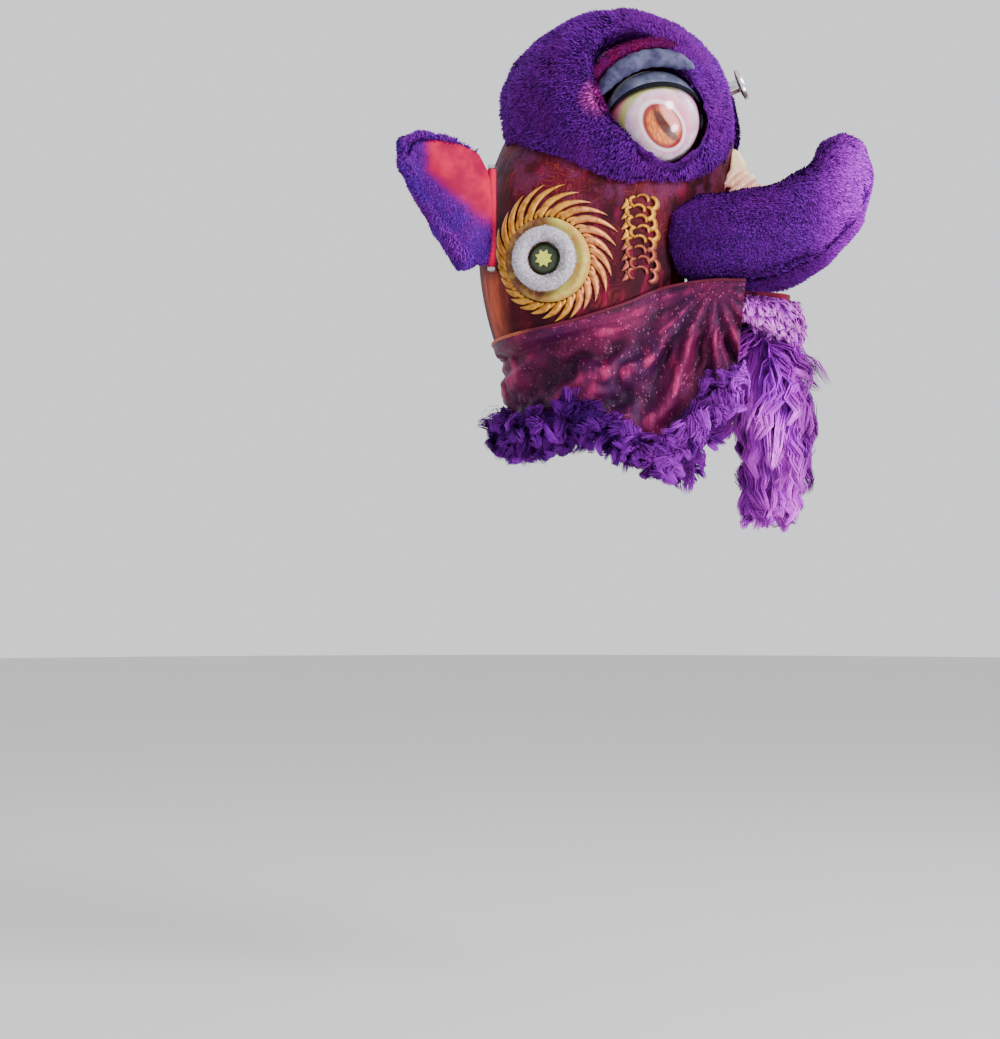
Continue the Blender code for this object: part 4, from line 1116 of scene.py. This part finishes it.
def makeFlames(side, hand):  # long and short tongues in turn, all bent the same way
    pieces = []
    count = 2 * cheekLook["tongues"]
    lengths = np.array(cheekLook["lengths"])
    places = np.arange(len(lengths))
    t = np.linspace(0, 1, 13)
    ends = np.sqrt(np.clip(1 - t ** 3, 0.003, 1))
    middleF, middleZ = cheekLook["forward"], cheekLook["height"]
    least, more = cheekLook["tongueBend"]
    for i in range(count):
        angle = math.tau * (i + 0.5) / count
        length = cheekLook["tongueRoot"] + float(np.interp(angle / math.tau * places[-1], places, lengths))
        short = i % 2 == 1
        length *= cheekLook["shortShare"] if short else 0.94 + 0.10 * math.sin(i * 2.4)
        spine = []
        for step in t:
            reach = cheekLook["boss"] + cheekLook["tongueGap"] + length * step
            turn = angle + cheekLook["tongueLead"] - (least + more * length) * step ** 1.5
            spine.append((middleF + reach * math.cos(turn), middleZ + reach * math.sin(turn)))
        broad, high = cheekLook["shortTongue" if short else "longTongue"]
        wide = broad * (0.70 + 0.6 * np.sin(math.pi * t ** 0.7)) * ends
        tall = high * ends * (0.55 + 0.45 * np.sin(math.pi * t))
        pieces.append(loftPiece("tongue", tongueRings(side, spine, wide, tall)))
    tongues = joined("cheek_tongues_" + hand, pieces)
    dress(tongues, goldPaint, "head", ("cheek_flames_" + hand,))


hookLook = {
    "rows": 8,
    "step": 0.0182,
    "lean": 0.004,
    # middle, radius, start angle, sweep, how much it closes, half width, how much it thins, height
    "comma": ((0.036, 0.008), (0.0125, 0.0105), -1.9, 3.7, 0.35, 0.0046, (1.20, 0.5), 0.0070),
    "wave": ((0.021, 0.014), (0.010, 0.0085), -0.6, 3.4, 0.0, 0.0032, (1.15, 0.5), 0.0056),
    "curl": ((0.007, 0.010), (0.0085, 0.0080), 1.2, 4.1, 0.4, 0.0034, (1.1, 0.4), 0.0056),
    "petal": ((-0.012, -0.004), (0.010, 0.019), 2.4, (0.0046, 0.0030)),
}


def makeHooks(side, hand):
    pieces = []
    t = np.linspace(0, 1, 15)
    ends = np.sqrt(np.clip(1 - (2 * t - 1) ** 4, 0.02, 1))

    def strip(spine, wide, tall):
        pieces.append(loftPiece("hook", tongueRings(side, spine, wide, tall)))

    for row in range(hookLook["rows"]):
        base = hookLook["step"] * row
        lean = hookLook["lean"] * math.sin(row * 1.9)
        for kind in ("comma", "wave", "curl"):
            middle, radius, start, sweep, closing, half, (full, thinner), tall = hookLook[kind]
            turns = start + sweep * t
            spine = np.stack([middle[0] + lean + radius[0] * np.cos(turns) * (1 - closing * t),
                              base + middle[1] + radius[1] * np.sin(turns)], 1)
            strip(spine, half * ends * (full - thinner * t), tall * ends)
        root, grown, bend, (half, tall) = hookLook["petal"]
        spine = np.stack([root[0] + grown[0] * np.sin(bend * t), base + root[1] + grown[1] * t], 1)
        strip(spine, half * np.sin(math.pi * np.clip(t, 0.03, 0.97)) ** 0.7, tall * ends)
    hooks = joined("cheek_hooks_" + hand, pieces)
    dress(hooks, goldPaint, "head", ("cheek_curls_" + hand,))


def makeCheek(side, hand):
    centre, out, ahead = cheekFrame(side)
    top = centre + out * cheekLook["bossHeight"]
    radius, deep = cheekLook["boss"], cheekLook["bossDepth"]
    rim = [(radius - inward, rise) for inward, rise in cheekLook["bossRim"]]
    floor = [cheekLook["dish"], (0, cheekLook["dish"][1])]
    profile = [(0, -deep), (radius, -deep)] + rim + floor
    dish = spinPiece("cheek_dish_" + hand, profile, centre, out, 72)
    dress(dish, bossPaint, "head", ("cheek_boss_" + hand,))
    major, wide, tall = cheekLook["ring"]
    turns = np.linspace(0, math.tau, 19)
    lift = cheekLook["ringLift"]
    profile = [(major + wide * math.cos(a), lift + tall * (1 + math.sin(a))) for a in turns]
    base = spinPiece("cheek_ring_pad_" + hand, profile, top, out, 56)
    pile = growPile("cheek_ring_pile_" + hand, base, pileLook["ring"], combFrom(top, 0))
    dress(base, furPaints["white"][1], "head", ("cheek_ring_" + hand,), angle=80)
    dress(pile, furPaints["white"][0], "head", angle=0)
    dome = spinPiece("cheek_dome_" + hand, cheekLook["dome"], top, out, 48)
    dress(dome, greenPaint, "head", ("cheek_centre_" + hand,))
    star = copyNode("cheek_star_" + hand, "cheek_star_skin_" + hand)
    applyStep(star, "BEVEL", width=cheekLook["starBevel"], segments=2, limit_method="ANGLE")
    dress(star, limePaint, "head", ("cheek_star_" + hand,))


for side, hand in ((-1, "right"), (1, "left")):
    makeCheek(side, hand)
    makeFlames(side, hand)
    makeHooks(side, hand)
print("cheeks")

# ears

earLook = {
    "rod": (0.236, 0.243),
    "root": 0.106,
    "tip": (0.322, 0.392, 0.236),
    "wall": 0.003,
    "half": (0.092, 0.010),  # half height at the root, and what is left at the tip
    "cup": 0.022,
    "barrel": (0.0047, 0.0078, 0.0245, 0.1975),  # hole, radius, from, to
}


def earHalf(along):
    root, tip = earLook["half"]
    return (root * (1 - along ** 1.7) + tip) * (0.70 + 0.30 * np.minimum(along / 0.15, 1.0))


def earPoint(side, along, rise, deep=0.0):
    root = Vector((side * earLook["rod"][0], earLook["rod"][1], earLook["root"]))
    tip = Vector((side * earLook["tip"][0], earLook["tip"][1], earLook["tip"][2]))
    level = Vector((tip.x - root.x, tip.y - root.y, 0)).normalized()
    out = level.cross(Vector((0, 0, 1))) * -side
    cup = earLook["cup"] * (1 - rise * rise) * math.sin(math.pi * min(along + 0.15, 1.0))
    spot = root.lerp(tip, along) + Vector((0, 0, float(earHalf(along)) * rise))
    return spot - out * (cup - deep)


def satinPaint(name, colour, darker, bright, edge=None):
    paint = Paint(name, Sheen_Weight=0.04, Sheen_Roughness=0.4, Sheen_Tint=(1.0, 0.1, 0.2, 1.0),
                  Specular_IOR_Level=0.08)
    where = paint.place()
    cloud = paint.noise(where, 16, 4, 0.6)
    thread = {"Vector": where, "Scale": 420, "Distortion": 0.6}
    weave = paint.add("TexWave", {"wave_type": "BANDS", "bands_direction": "Z"}, thread)
    cross = paint.add("TexWave", {"wave_type": "BANDS", "bands_direction": "Y"}, thread)
    tone = paint.mix(cloud.over(0.35, 0.65), darker, colour)
    tone = paint.mix(weave * 0.18, tone, bright)
    if edge:  # dyed towards the fur
        tone = paint.mix((paint.attribute("edge") + 0.5 * cloud - 0.25).over(0.15, 0.75), tone, edge)
    bump = weave + cross + 2.0 * cloud
    return paint.finish(tone, rough=0.40 + 0.2 * cloud, bump=bump, strength=0.25, depth=0.0008)


redPaint = satinPaint("red satin", (0.50, 0.004, 0.050), (0.24, 0.002, 0.030), (0.62, 0.020, 0.10))
liningPaint = satinPaint("ear lining", (0.56, 0.002, 0.046), (0.24, 0.001, 0.036), (0.60, 0.006, 0.08),
                         edge=(0.060, 0.002, 0.190))
steelPaint = plainPaint("steel rod", (0.55, 0.55, 0.57), (0.32, 0.31, 0.31), 0.34, 0.95, scale=90, bump=0.12)
pinPaint = plainPaint("dark pin", (0.055, 0.020, 0.024), (0.025, 0.010, 0.012), 0.5, 0.3, scale=90, bump=0.12)
silverPaint = plainPaint("silver trim", (0.74, 0.74, 0.77), (0.45, 0.45, 0.50), 0.24, 0.95, scale=90,
                         bump=0.15)
bambooPaint = plainPaint("bamboo bar", (0.52, 0.36, 0.17), (0.30, 0.18, 0.07), 0.5, scale=40, wear=0.8,
                         bump=0.3)


def makeEarPanel(side, hand):
    rings = []
    rises = np.linspace(-1, 1, 17)
    for along in np.linspace(0.03, 0.96, 34):
        ring = [earPoint(side, along, rise, earLook["wall"] / 2) for rise in rises]
        ring += [earPoint(side, along, rise, -earLook["wall"] / 2) for rise in rises[::-1]]
        rings.append(ring)
    leaf = loftPiece("leaf", rings)
    spots = readPoints(leaf.data)
    root = np.array((side * earLook["rod"][0], earLook["rod"][1], earLook["root"]))
    slope = np.array(earLook["tip"]) * (side, 1, 1) - root
    length = np.hypot(slope[0], slope[1])
    along = np.clip(np.hypot(spots[:, 0] - root[0], spots[:, 1] - root[1]) / length, 0, 1)
    rise = (spots[:, 2] - root[2] - slope[2] * along) / earHalf(along)
    # 1 where the purple fur grows over the red: low down and towards the tip
    edge = np.maximum((0.15 - rise) / 0.9, (along - 0.62) / 0.25)
    edge = np.clip(edge + 0.6 * np.clip(0.25 - along, 0, 1) * (rise < 0.2), 0, 1)
    leaf.data.attributes.new("edge", "FLOAT", "POINT").data.foreach_set("value", edge)
    leafTree = KDTree(len(spots))
    for i, spot in enumerate(spots):
        leafTree.insert(spot, i)
    leafTree.balance()

    def keep(points, out):
        closest = [leafTree.find(spot)[1] for spot in points]
        return np.clip((edge[closest] - 0.45) * 3, 0, 1)

    nap = growPile("ear_nap_" + hand, leaf, pileLook["nap"], combAlong((0, 0.3, -1)), keep)
    dress(nap, furPaints["ear"][0], "ear_" + hand, angle=0)
    x, y = earLook["rod"]
    hole, radius, low, high = earLook["barrel"]
    profile = [(hole, low), (radius, low), (radius, high), (hole, high), (hole, low)]
    barrel = spinPiece("barrel", profile, (side * x, y, 0), (0, 0, 1), 24)
    lining = joined("ear_lining_" + hand, [leaf, barrel])
    dress(lining, liningPaint, "ear_" + hand, ("ear_panel_" + hand,))


def repaint(node, paint):  # plain CAD nodes that stay as they are
    mesh = frame["nodes"][node].data
    mesh.materials.clear()
    mesh.materials.append(paint)


for side, hand in ((-1, "right"), (1, "left")):
    makeEarPanel(side, hand)
    repaint("ear_bracket_" + hand, steelPaint)
    repaint("jaw_pin_" + hand, pinPaint)
repaint("hand_bar", bambooPaint)
print("ears")

# bill, nose, mirror, jaw and tongue

billLook = {
    "rows": ((0.154, 0.085, 0.079), (0.166, 0.150, 0.079), (0.165, 0.220, 0.084), (0.150, 0.283, 0.104),
             (0.116, 0.333, 0.137), (0.064, 0.364, 0.182), (0.000, 0.372, 0.214)),
    "thick": 0.004,
    "reach": (0.15625, 5.0),  # the rows that the plate runs from and to
    "gap": 0.0004,
}


def makeBill():
    rings = []
    sides = np.linspace(-1, 1, 13)
    for across, forward, height in curveThrough(billLook["rows"], np.linspace(*billLook["reach"], 40)):
        low, high = height - billLook["thick"] / 2, height + billLook["thick"] / 2
        ring = [(across * share, -forward, high) for share in sides]
        rings.append(ring + [(across * share, -forward, low) for share in sides[::-1]])
    bill = loftPiece("bill_plate", rings)
    cutWith(bill, loftPiece("room", formRings(billLook["gap"])))
    dress(bill, redPaint, "head", ("bill",))


def nosePaint():
    paint = Paint("nose lacquer", Coat_Weight=0.35, Coat_Roughness=0.15)
    where = paint.place()
    height = paint.split(where, "Z")
    cloud = paint.noise(where, 24, 4, 0.6)
    fine = paint.noise(where, 240, 2, 0.5)
    colour = paint.mix(cloud.over(0.35, 0.65), (0.62, 0.20, 0.22), (0.86, 0.52, 0.34))
    colour = paint.mix(height.over(0.17, 0.24), colour, (0.84, 0.62, 0.34))
    return paint.finish(colour, rough=0.30 + 0.2 * cloud, bump=cloud + 0.3 * fine, strength=0.2, depth=0.001)


noseVoxel = 0.0038


def makeNose():
    nose = copyNode("nose", "nose_skin")
    applyStep(nose, "REMESH", mode="VOXEL", voxel_size=noseVoxel)
    applyStep(nose, "SMOOTH", factor=0.5, iterations=3)
    dress(nose, nosePaint(), "head", ("nose",), angle=80)


mirrorLook = {
    "foot": (0, -0.167, 0.368),
    "tilt": math.radians(22),
    "rim": ((0, -0.03), (0.013, -0.03), (0.013, 0.015), (0.028, 0.0175), (0.030, 0.019), (0.030, 0.0235),
            (0.0285, 0.0258), (0.0262, 0.0262), (0.0240, 0.0252), (0.0226, 0.0236), (0, 0.0236)),
    "glass": ((0, 0.0240), (0.0222, 0.0240), (0.0222, 0.0256), (0.0205, 0.0270), (0, 0.0270)),
    "pale": (0.80, 0.82, 0.86),
    "cloudy": (0.70, 0.73, 0.78),
}


def glassPaint():
    paint = Paint("looking glass")
    cloud = paint.noise(paint.place(), 40, 3, 0.5)
    colour = paint.mix(cloud.over(0.4, 0.7), mirrorLook["pale"], mirrorLook["cloudy"])
    return paint.finish(colour, rough=0.03 + 0.05 * cloud, metal=0.98)


def makeMirror():
    tilt, foot = mirrorLook["tilt"], mirrorLook["foot"]
    out = (0, -math.cos(tilt), math.sin(tilt))
    rim = spinPiece("mirror_rim", mirrorLook["rim"], foot, out, 64)
    dress(rim, silverPaint, "head", ("mirror_frame",))
    pane = spinPiece("mirror_pane", mirrorLook["glass"], foot, out, 64)
    dress(pane, glassPaint(), "head", ("mirror_glass",))


jawLook = {
    "centre": 0.151,
    "halfLength": 0.126,
    "halfWidth": 0.116,
    "depth": 0.052,
    "rim": -0.014,
    "hinge": (0.055, -0.012),
    "bar": (0.150, 0.009),  # half length and radius
    "wall": 0.004,
    "steps": 64,
    "outer": ((0.30, 0), (0.70, 0.0), (0.86, 0.0045), (0.93, 0.014), (0.975, 0.030), (1.0, 0.052)),
    "inner": ((1.0, 0.052), (0.975, 0.030), (0.93, 0.017), (0.86, 0.0080), (0.70, 0.004), (0.3, 0.004)),
    "tongueVoxel": 0.003,
}


def jawRing(share, rise, grow=0.0):
    steps = jawLook["steps"]
    angle = math.tau * (np.arange(steps) + 0.5) / steps
    along, across = np.cos(angle), np.sin(angle)
    long = jawLook["halfLength"] * np.sign(along) * np.abs(along) ** 0.85
    wide = jawLook["halfWidth"] * np.sign(across) * np.abs(across) ** 0.85 * (1 - 0.10 * along)
    out = np.stack([wide, -long, np.zeros(steps)], 1)
    middle = np.array((0, -jawLook["centre"], jawLook["rim"] - jawLook["depth"] + rise))
    return middle + out * share + unit(out) * grow


trayPaint = satinPaint("tray lining", (0.20, 0.004, 0.030), (0.075, 0.002, 0.014), (0.34, 0.020, 0.05))


def makeJaw():
    rings = [jawRing(share, rise) for share, rise in jawLook["outer"]]
    rings += [jawRing(share, rise, -jawLook["wall"]) for share, rise in jawLook["inner"]]
    tray = loftPiece("tray", rings)
    forward, height = jawLook["hinge"]
    half, radius = jawLook["bar"]
    bar = tubePiece("bar", [(-half, -forward, height), (half, -forward, height)], radius, 16)
    dress(joined("jaw_tray", [tray, bar]), trayPaint, "jaw", ("jaw",))
    tongue = copyNode("tongue", "tongue_pad")
    applyStep(tongue, "REMESH", mode="VOXEL", voxel_size=jawLook["tongueVoxel"])
    applyStep(tongue, "SMOOTH", factor=0.5, iterations=6)
    tonguePaint = satinPaint("tongue satin", (0.60, 0.05, 0.10), (0.34, 0.012, 0.045), (0.85, 0.25, 0.30))
    dress(tongue, tonguePaint, "jaw", ("tongue",), angle=80)


makeBill()
makeNose()
makeMirror()
makeJaw()
print("bill, nose, mirror and jaw")

# neck cloth

clothLook = {
    "rows": np.array((  # across, forward, top, hem across, hem forward, hem
        (0.000, -0.250, -0.106, 0.000, -0.236, -0.248),
        (0.105, -0.235, -0.104, 0.095, -0.226, -0.262),
        (0.180, -0.180, -0.094, 0.178, -0.183, -0.258),
        (0.220, -0.100, -0.074, 0.220, -0.095, -0.234),
        (0.212, -0.015, -0.044, 0.220, -0.010, -0.282),
        (0.196, 0.060, -0.014, 0.210, 0.060, -0.312),
        (0.195, 0.140, -0.001, 0.204, 0.130, -0.235),
        (0.190, 0.205, -0.001, 0.197, 0.190, -0.170),
    )),
    "wall": 0.0012,
    "around": 270,
    "down": 36,
    "corner": (0.150, -0.010),  # forward and height of the spot that the folds run from
    "fold": 0.0150,
    "crumple": 0.0022,
    "folds": 15,  # waves in a full turn round the corner
    "smallFolds": 37,
    "gathers": 95,
    "gatherFade": 7,
    "spread": 0.12,  # folds are whole from this far off the corner
    "shellFront": 0.10,  # behind this the cloth lies on the shell
    "shellEdge": 0.012,
    "margin": 0.0040,
    "tuck": 0.020,  # the cloth ends this far up inside the hem's fur
    "uvSize": (0.62, 0.2),
    "piping": 0.0030,
}


def restOnForm(points, margin):
    half, front, back = formAt(points[:, 2])
    centre = (front + back) / 2
    share = np.maximum(formShare(points), 0.05)
    fromMiddle = np.stack([points[:, 0], points[:, 1] + centre, np.zeros(len(points))], 1)
    scale = np.maximum(1.0, 1.0 / share + margin / np.linalg.norm(fromMiddle, axis=1))
    moved = fromMiddle * scale[:, None]
    return np.stack([moved[:, 0], moved[:, 1] - centre, points[:, 2]], 1)


def clothFolds(line, share, v):  # how far each point swings out, and where the ridges are
    cornerF, cornerZ = clothLook["corner"]
    forward, height = -line[:, 1], line[:, 2]
    turn = np.arctan2(height - cornerZ, forward - cornerF)
    far = np.hypot(height - cornerZ, forward - cornerF)
    wave = np.sin(turn * clothLook["folds"] + 1.2 * np.sin(far * 26) + 0.6 * ripple(line, 0.09, 3))
    wave = np.sign(wave) * np.abs(wave) ** 0.8
    small = np.sin(turn * clothLook["smallFolds"] + 2.0 * ripple(line, 0.06, 4) + share * 11)
    gather = np.sin(share * clothLook["gathers"] + 1.5 * ripple(line, 0.05, 5))
    gather = gather * np.exp(-v * clothLook["gatherFade"])
    reach = np.clip(far / clothLook["spread"], 0.15, 1)
    swing = wave * 0.75 * min(1, 0.25 + v * 1.6) + 0.28 * small + 0.25 * gather
    swing = clothLook["fold"] * swing * reach
    swing += clothLook["crumple"] * ripple(line, 0.022, 6)
    return swing, 0.5 + 0.5 * (wave * 0.75 + 0.28 * small)


def makeCloth():
    around, down = clothLook["around"], clothLook["down"]
    share = np.linspace(-1, 1, around + 1)
    rows = curveThrough(clothLook["rows"], np.abs(share) * (len(clothLook["rows"]) - 1))
    side = np.sign(share + 1e-9)
    top = np.stack([side * rows[:, 0], -rows[:, 1], rows[:, 2]], 1)
    hem = np.stack([side * rows[:, 3], -rows[:, 4], rows[:, 5] + clothLook["tuck"]], 1)
    ahead = np.gradient(hem, axis=0)
    out = unit(np.stack([ahead[:, 1], -ahead[:, 0], np.zeros(len(ahead))], 1))
    out = out * np.sign((out * hem).sum(1))[:, None]
    grid, uvs, ridges = [], [], []
    for k in range(down + 1):
        v = k / down
        line = top + (hem - top) * v
        swing, ridge = clothFolds(line, share, v)
        loose = min(1.0, 0.3 + 1.5 * v) * (1 - 0.55 * max(0, (v - 0.8) / 0.2))
        line = line + out * (swing * loose)[:, None]
        low = rimHeight(rows[:, 1]) - clothLook["shellEdge"]
        onShell = (rows[:, 1] < clothLook["shellFront"]) & (line[:, 2] > low)
        line = np.where(onShell[:, None], restOnForm(line, clothLook["margin"]), line)
        wide, deep = clothLook["uvSize"]
        grid.append(line)
        uvs.append(np.stack([share * wide, np.full_like(share, v * deep)], 1))
        ridges.append(ridge)
    count = around + 1
    faces = [(k * count + i, k * count + i + 1, (k + 1) * count + i + 1, (k + 1) * count + i)
             for k in range(down) for i in range(around)]
    cloth = newPiece("cloth_curtain", np.concatenate(grid), faces)
    applyStep(cloth, "SMOOTH", factor=0.4, iterations=2)
    mesh = cloth.data
    mesh.attributes.new("ridge", "FLOAT", "POINT").data.foreach_set("value", np.concatenate(ridges))
    corner = np.empty(len(mesh.loops), int)
    mesh.loops.foreach_get("vertex_index", corner)
    mesh.uv_layers.new(name="cloth").data.foreach_set("uv", np.concatenate(uvs)[corner].ravel())
    print("cloth area", round(sum(face.area for face in mesh.polygons), 4))
    applyStep(cloth, "SOLIDIFY", thickness=clothLook["wall"], offset=0)
    return cloth, grid[0]


def clothPaint():
    paint = Paint("spangled cloth", Specular_IOR_Level=0.18)
    where = paint.add("TexCoord", {}, {}, "UV")
    drawn = paint.add("Mapping", {}, {"Vector": where, "Scale": (1.0, 0.35, 1.0)})
    streak = paint.noise(drawn, 46, 4, 0.65)
    broad = paint.noise(where, 7, 3, 0.55)
    scales = paint.cells(where, 420)
    glint = paint.cells(where, 420, "F1", "Color")
    pick = paint.split(glint, 0)
    colour = paint.mix(broad.over(0.36, 0.66), (0.030, 0.0014, 0.034), (0.100, 0.0036, 0.040))
    # painted satin highlight streaks, reddish
    colour = paint.mix(streak.over(0.54, 0.74) * 0.75, colour, (0.20, 0.006, 0.052))
    ridge = paint.attribute("ridge")
    # painted shade in the fold valleys
    colour = paint.mix(ridge.over(0.45, 0.05) * 0.75, colour, (0.008, 0.0006, 0.012))
    # painted highlight along the fold ridges
    colour = paint.mix(ridge.over(0.72, 1.0) * streak.over(0.38, 0.62) * 0.75, colour, (0.36, 0.022, 0.115))
    colour = paint.mix(pick.over(0.965, 0.990) * 0.45, colour, (0.55, 0.13, 0.28))
    return paint.finish(colour, rough=0.36 + 0.25 * pick, bump=1 - scales * 1.2 + 0.6 * streak, strength=0.45,
                        depth=0.0012, metal=0.10 + 0.25 * pick)


cloth, clothTop = makeCloth()
dress(cloth, clothPaint(), "head", ("neck_cloth",), angle=80)


def pipingPaint():
    paint = Paint("piping", Specular_IOR_Level=0.2)
    where = paint.place()
    cloud = paint.noise(where, 160, 4, 0.62)
    rear = paint.split(where, "Y").over(0.165, 0.215)
    colour = paint.mix(rear, (0.070, 0.003, 0.022), (0.48, 0.10, 0.045))
    colour = paint.mix(cloud.over(0.4, 0.65) * 0.5, colour, (0.11, 0.012, 0.016))
    return paint.finish(colour, rough=0.45 + 0.2 * cloud, bump=cloud, strength=0.3)


piping = tubePiece("cloth_piping", clothTop[::2], clothLook["piping"], 10)
dress(piping, pipingPaint(), "head")
print("cloth")

# floor and sky


def makeStage():
    bpy.ops.object.select_all(action="DESELECT")
    bpy.ops.mesh.primitive_circle_add(vertices=96, radius=stageLook["floorRadius"], fill_type="NGON",
                                      location=(0, 0, stageLook["floorHeight"]))
    floor = settle(bpy.context.object)
    floor.name = "studio_floor"
    paint = Paint("studio floor", Roughness=0.8)
    grain = paint.noise(paint.place(), 3, 3, 0.5)
    pale = stageLook["floorColour"]
    floor.data.materials.append(paint.finish(paint.mix(grain, pale, tuple(0.97 * c for c in pale))))
    floor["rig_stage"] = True
    world = bpy.data.worlds.new("studio")
    world.use_nodes = True
    sky = world.node_tree.nodes["Background"]
    sky.inputs["Color"].default_value = (*stageLook["sky"], 1)
    sky.inputs["Strength"].default_value = stageLook["skyStrength"]
    bpy.context.scene.world = world


makeStage()

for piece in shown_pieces():
    if "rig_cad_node" in piece:
        print("plain node left:", piece.name)
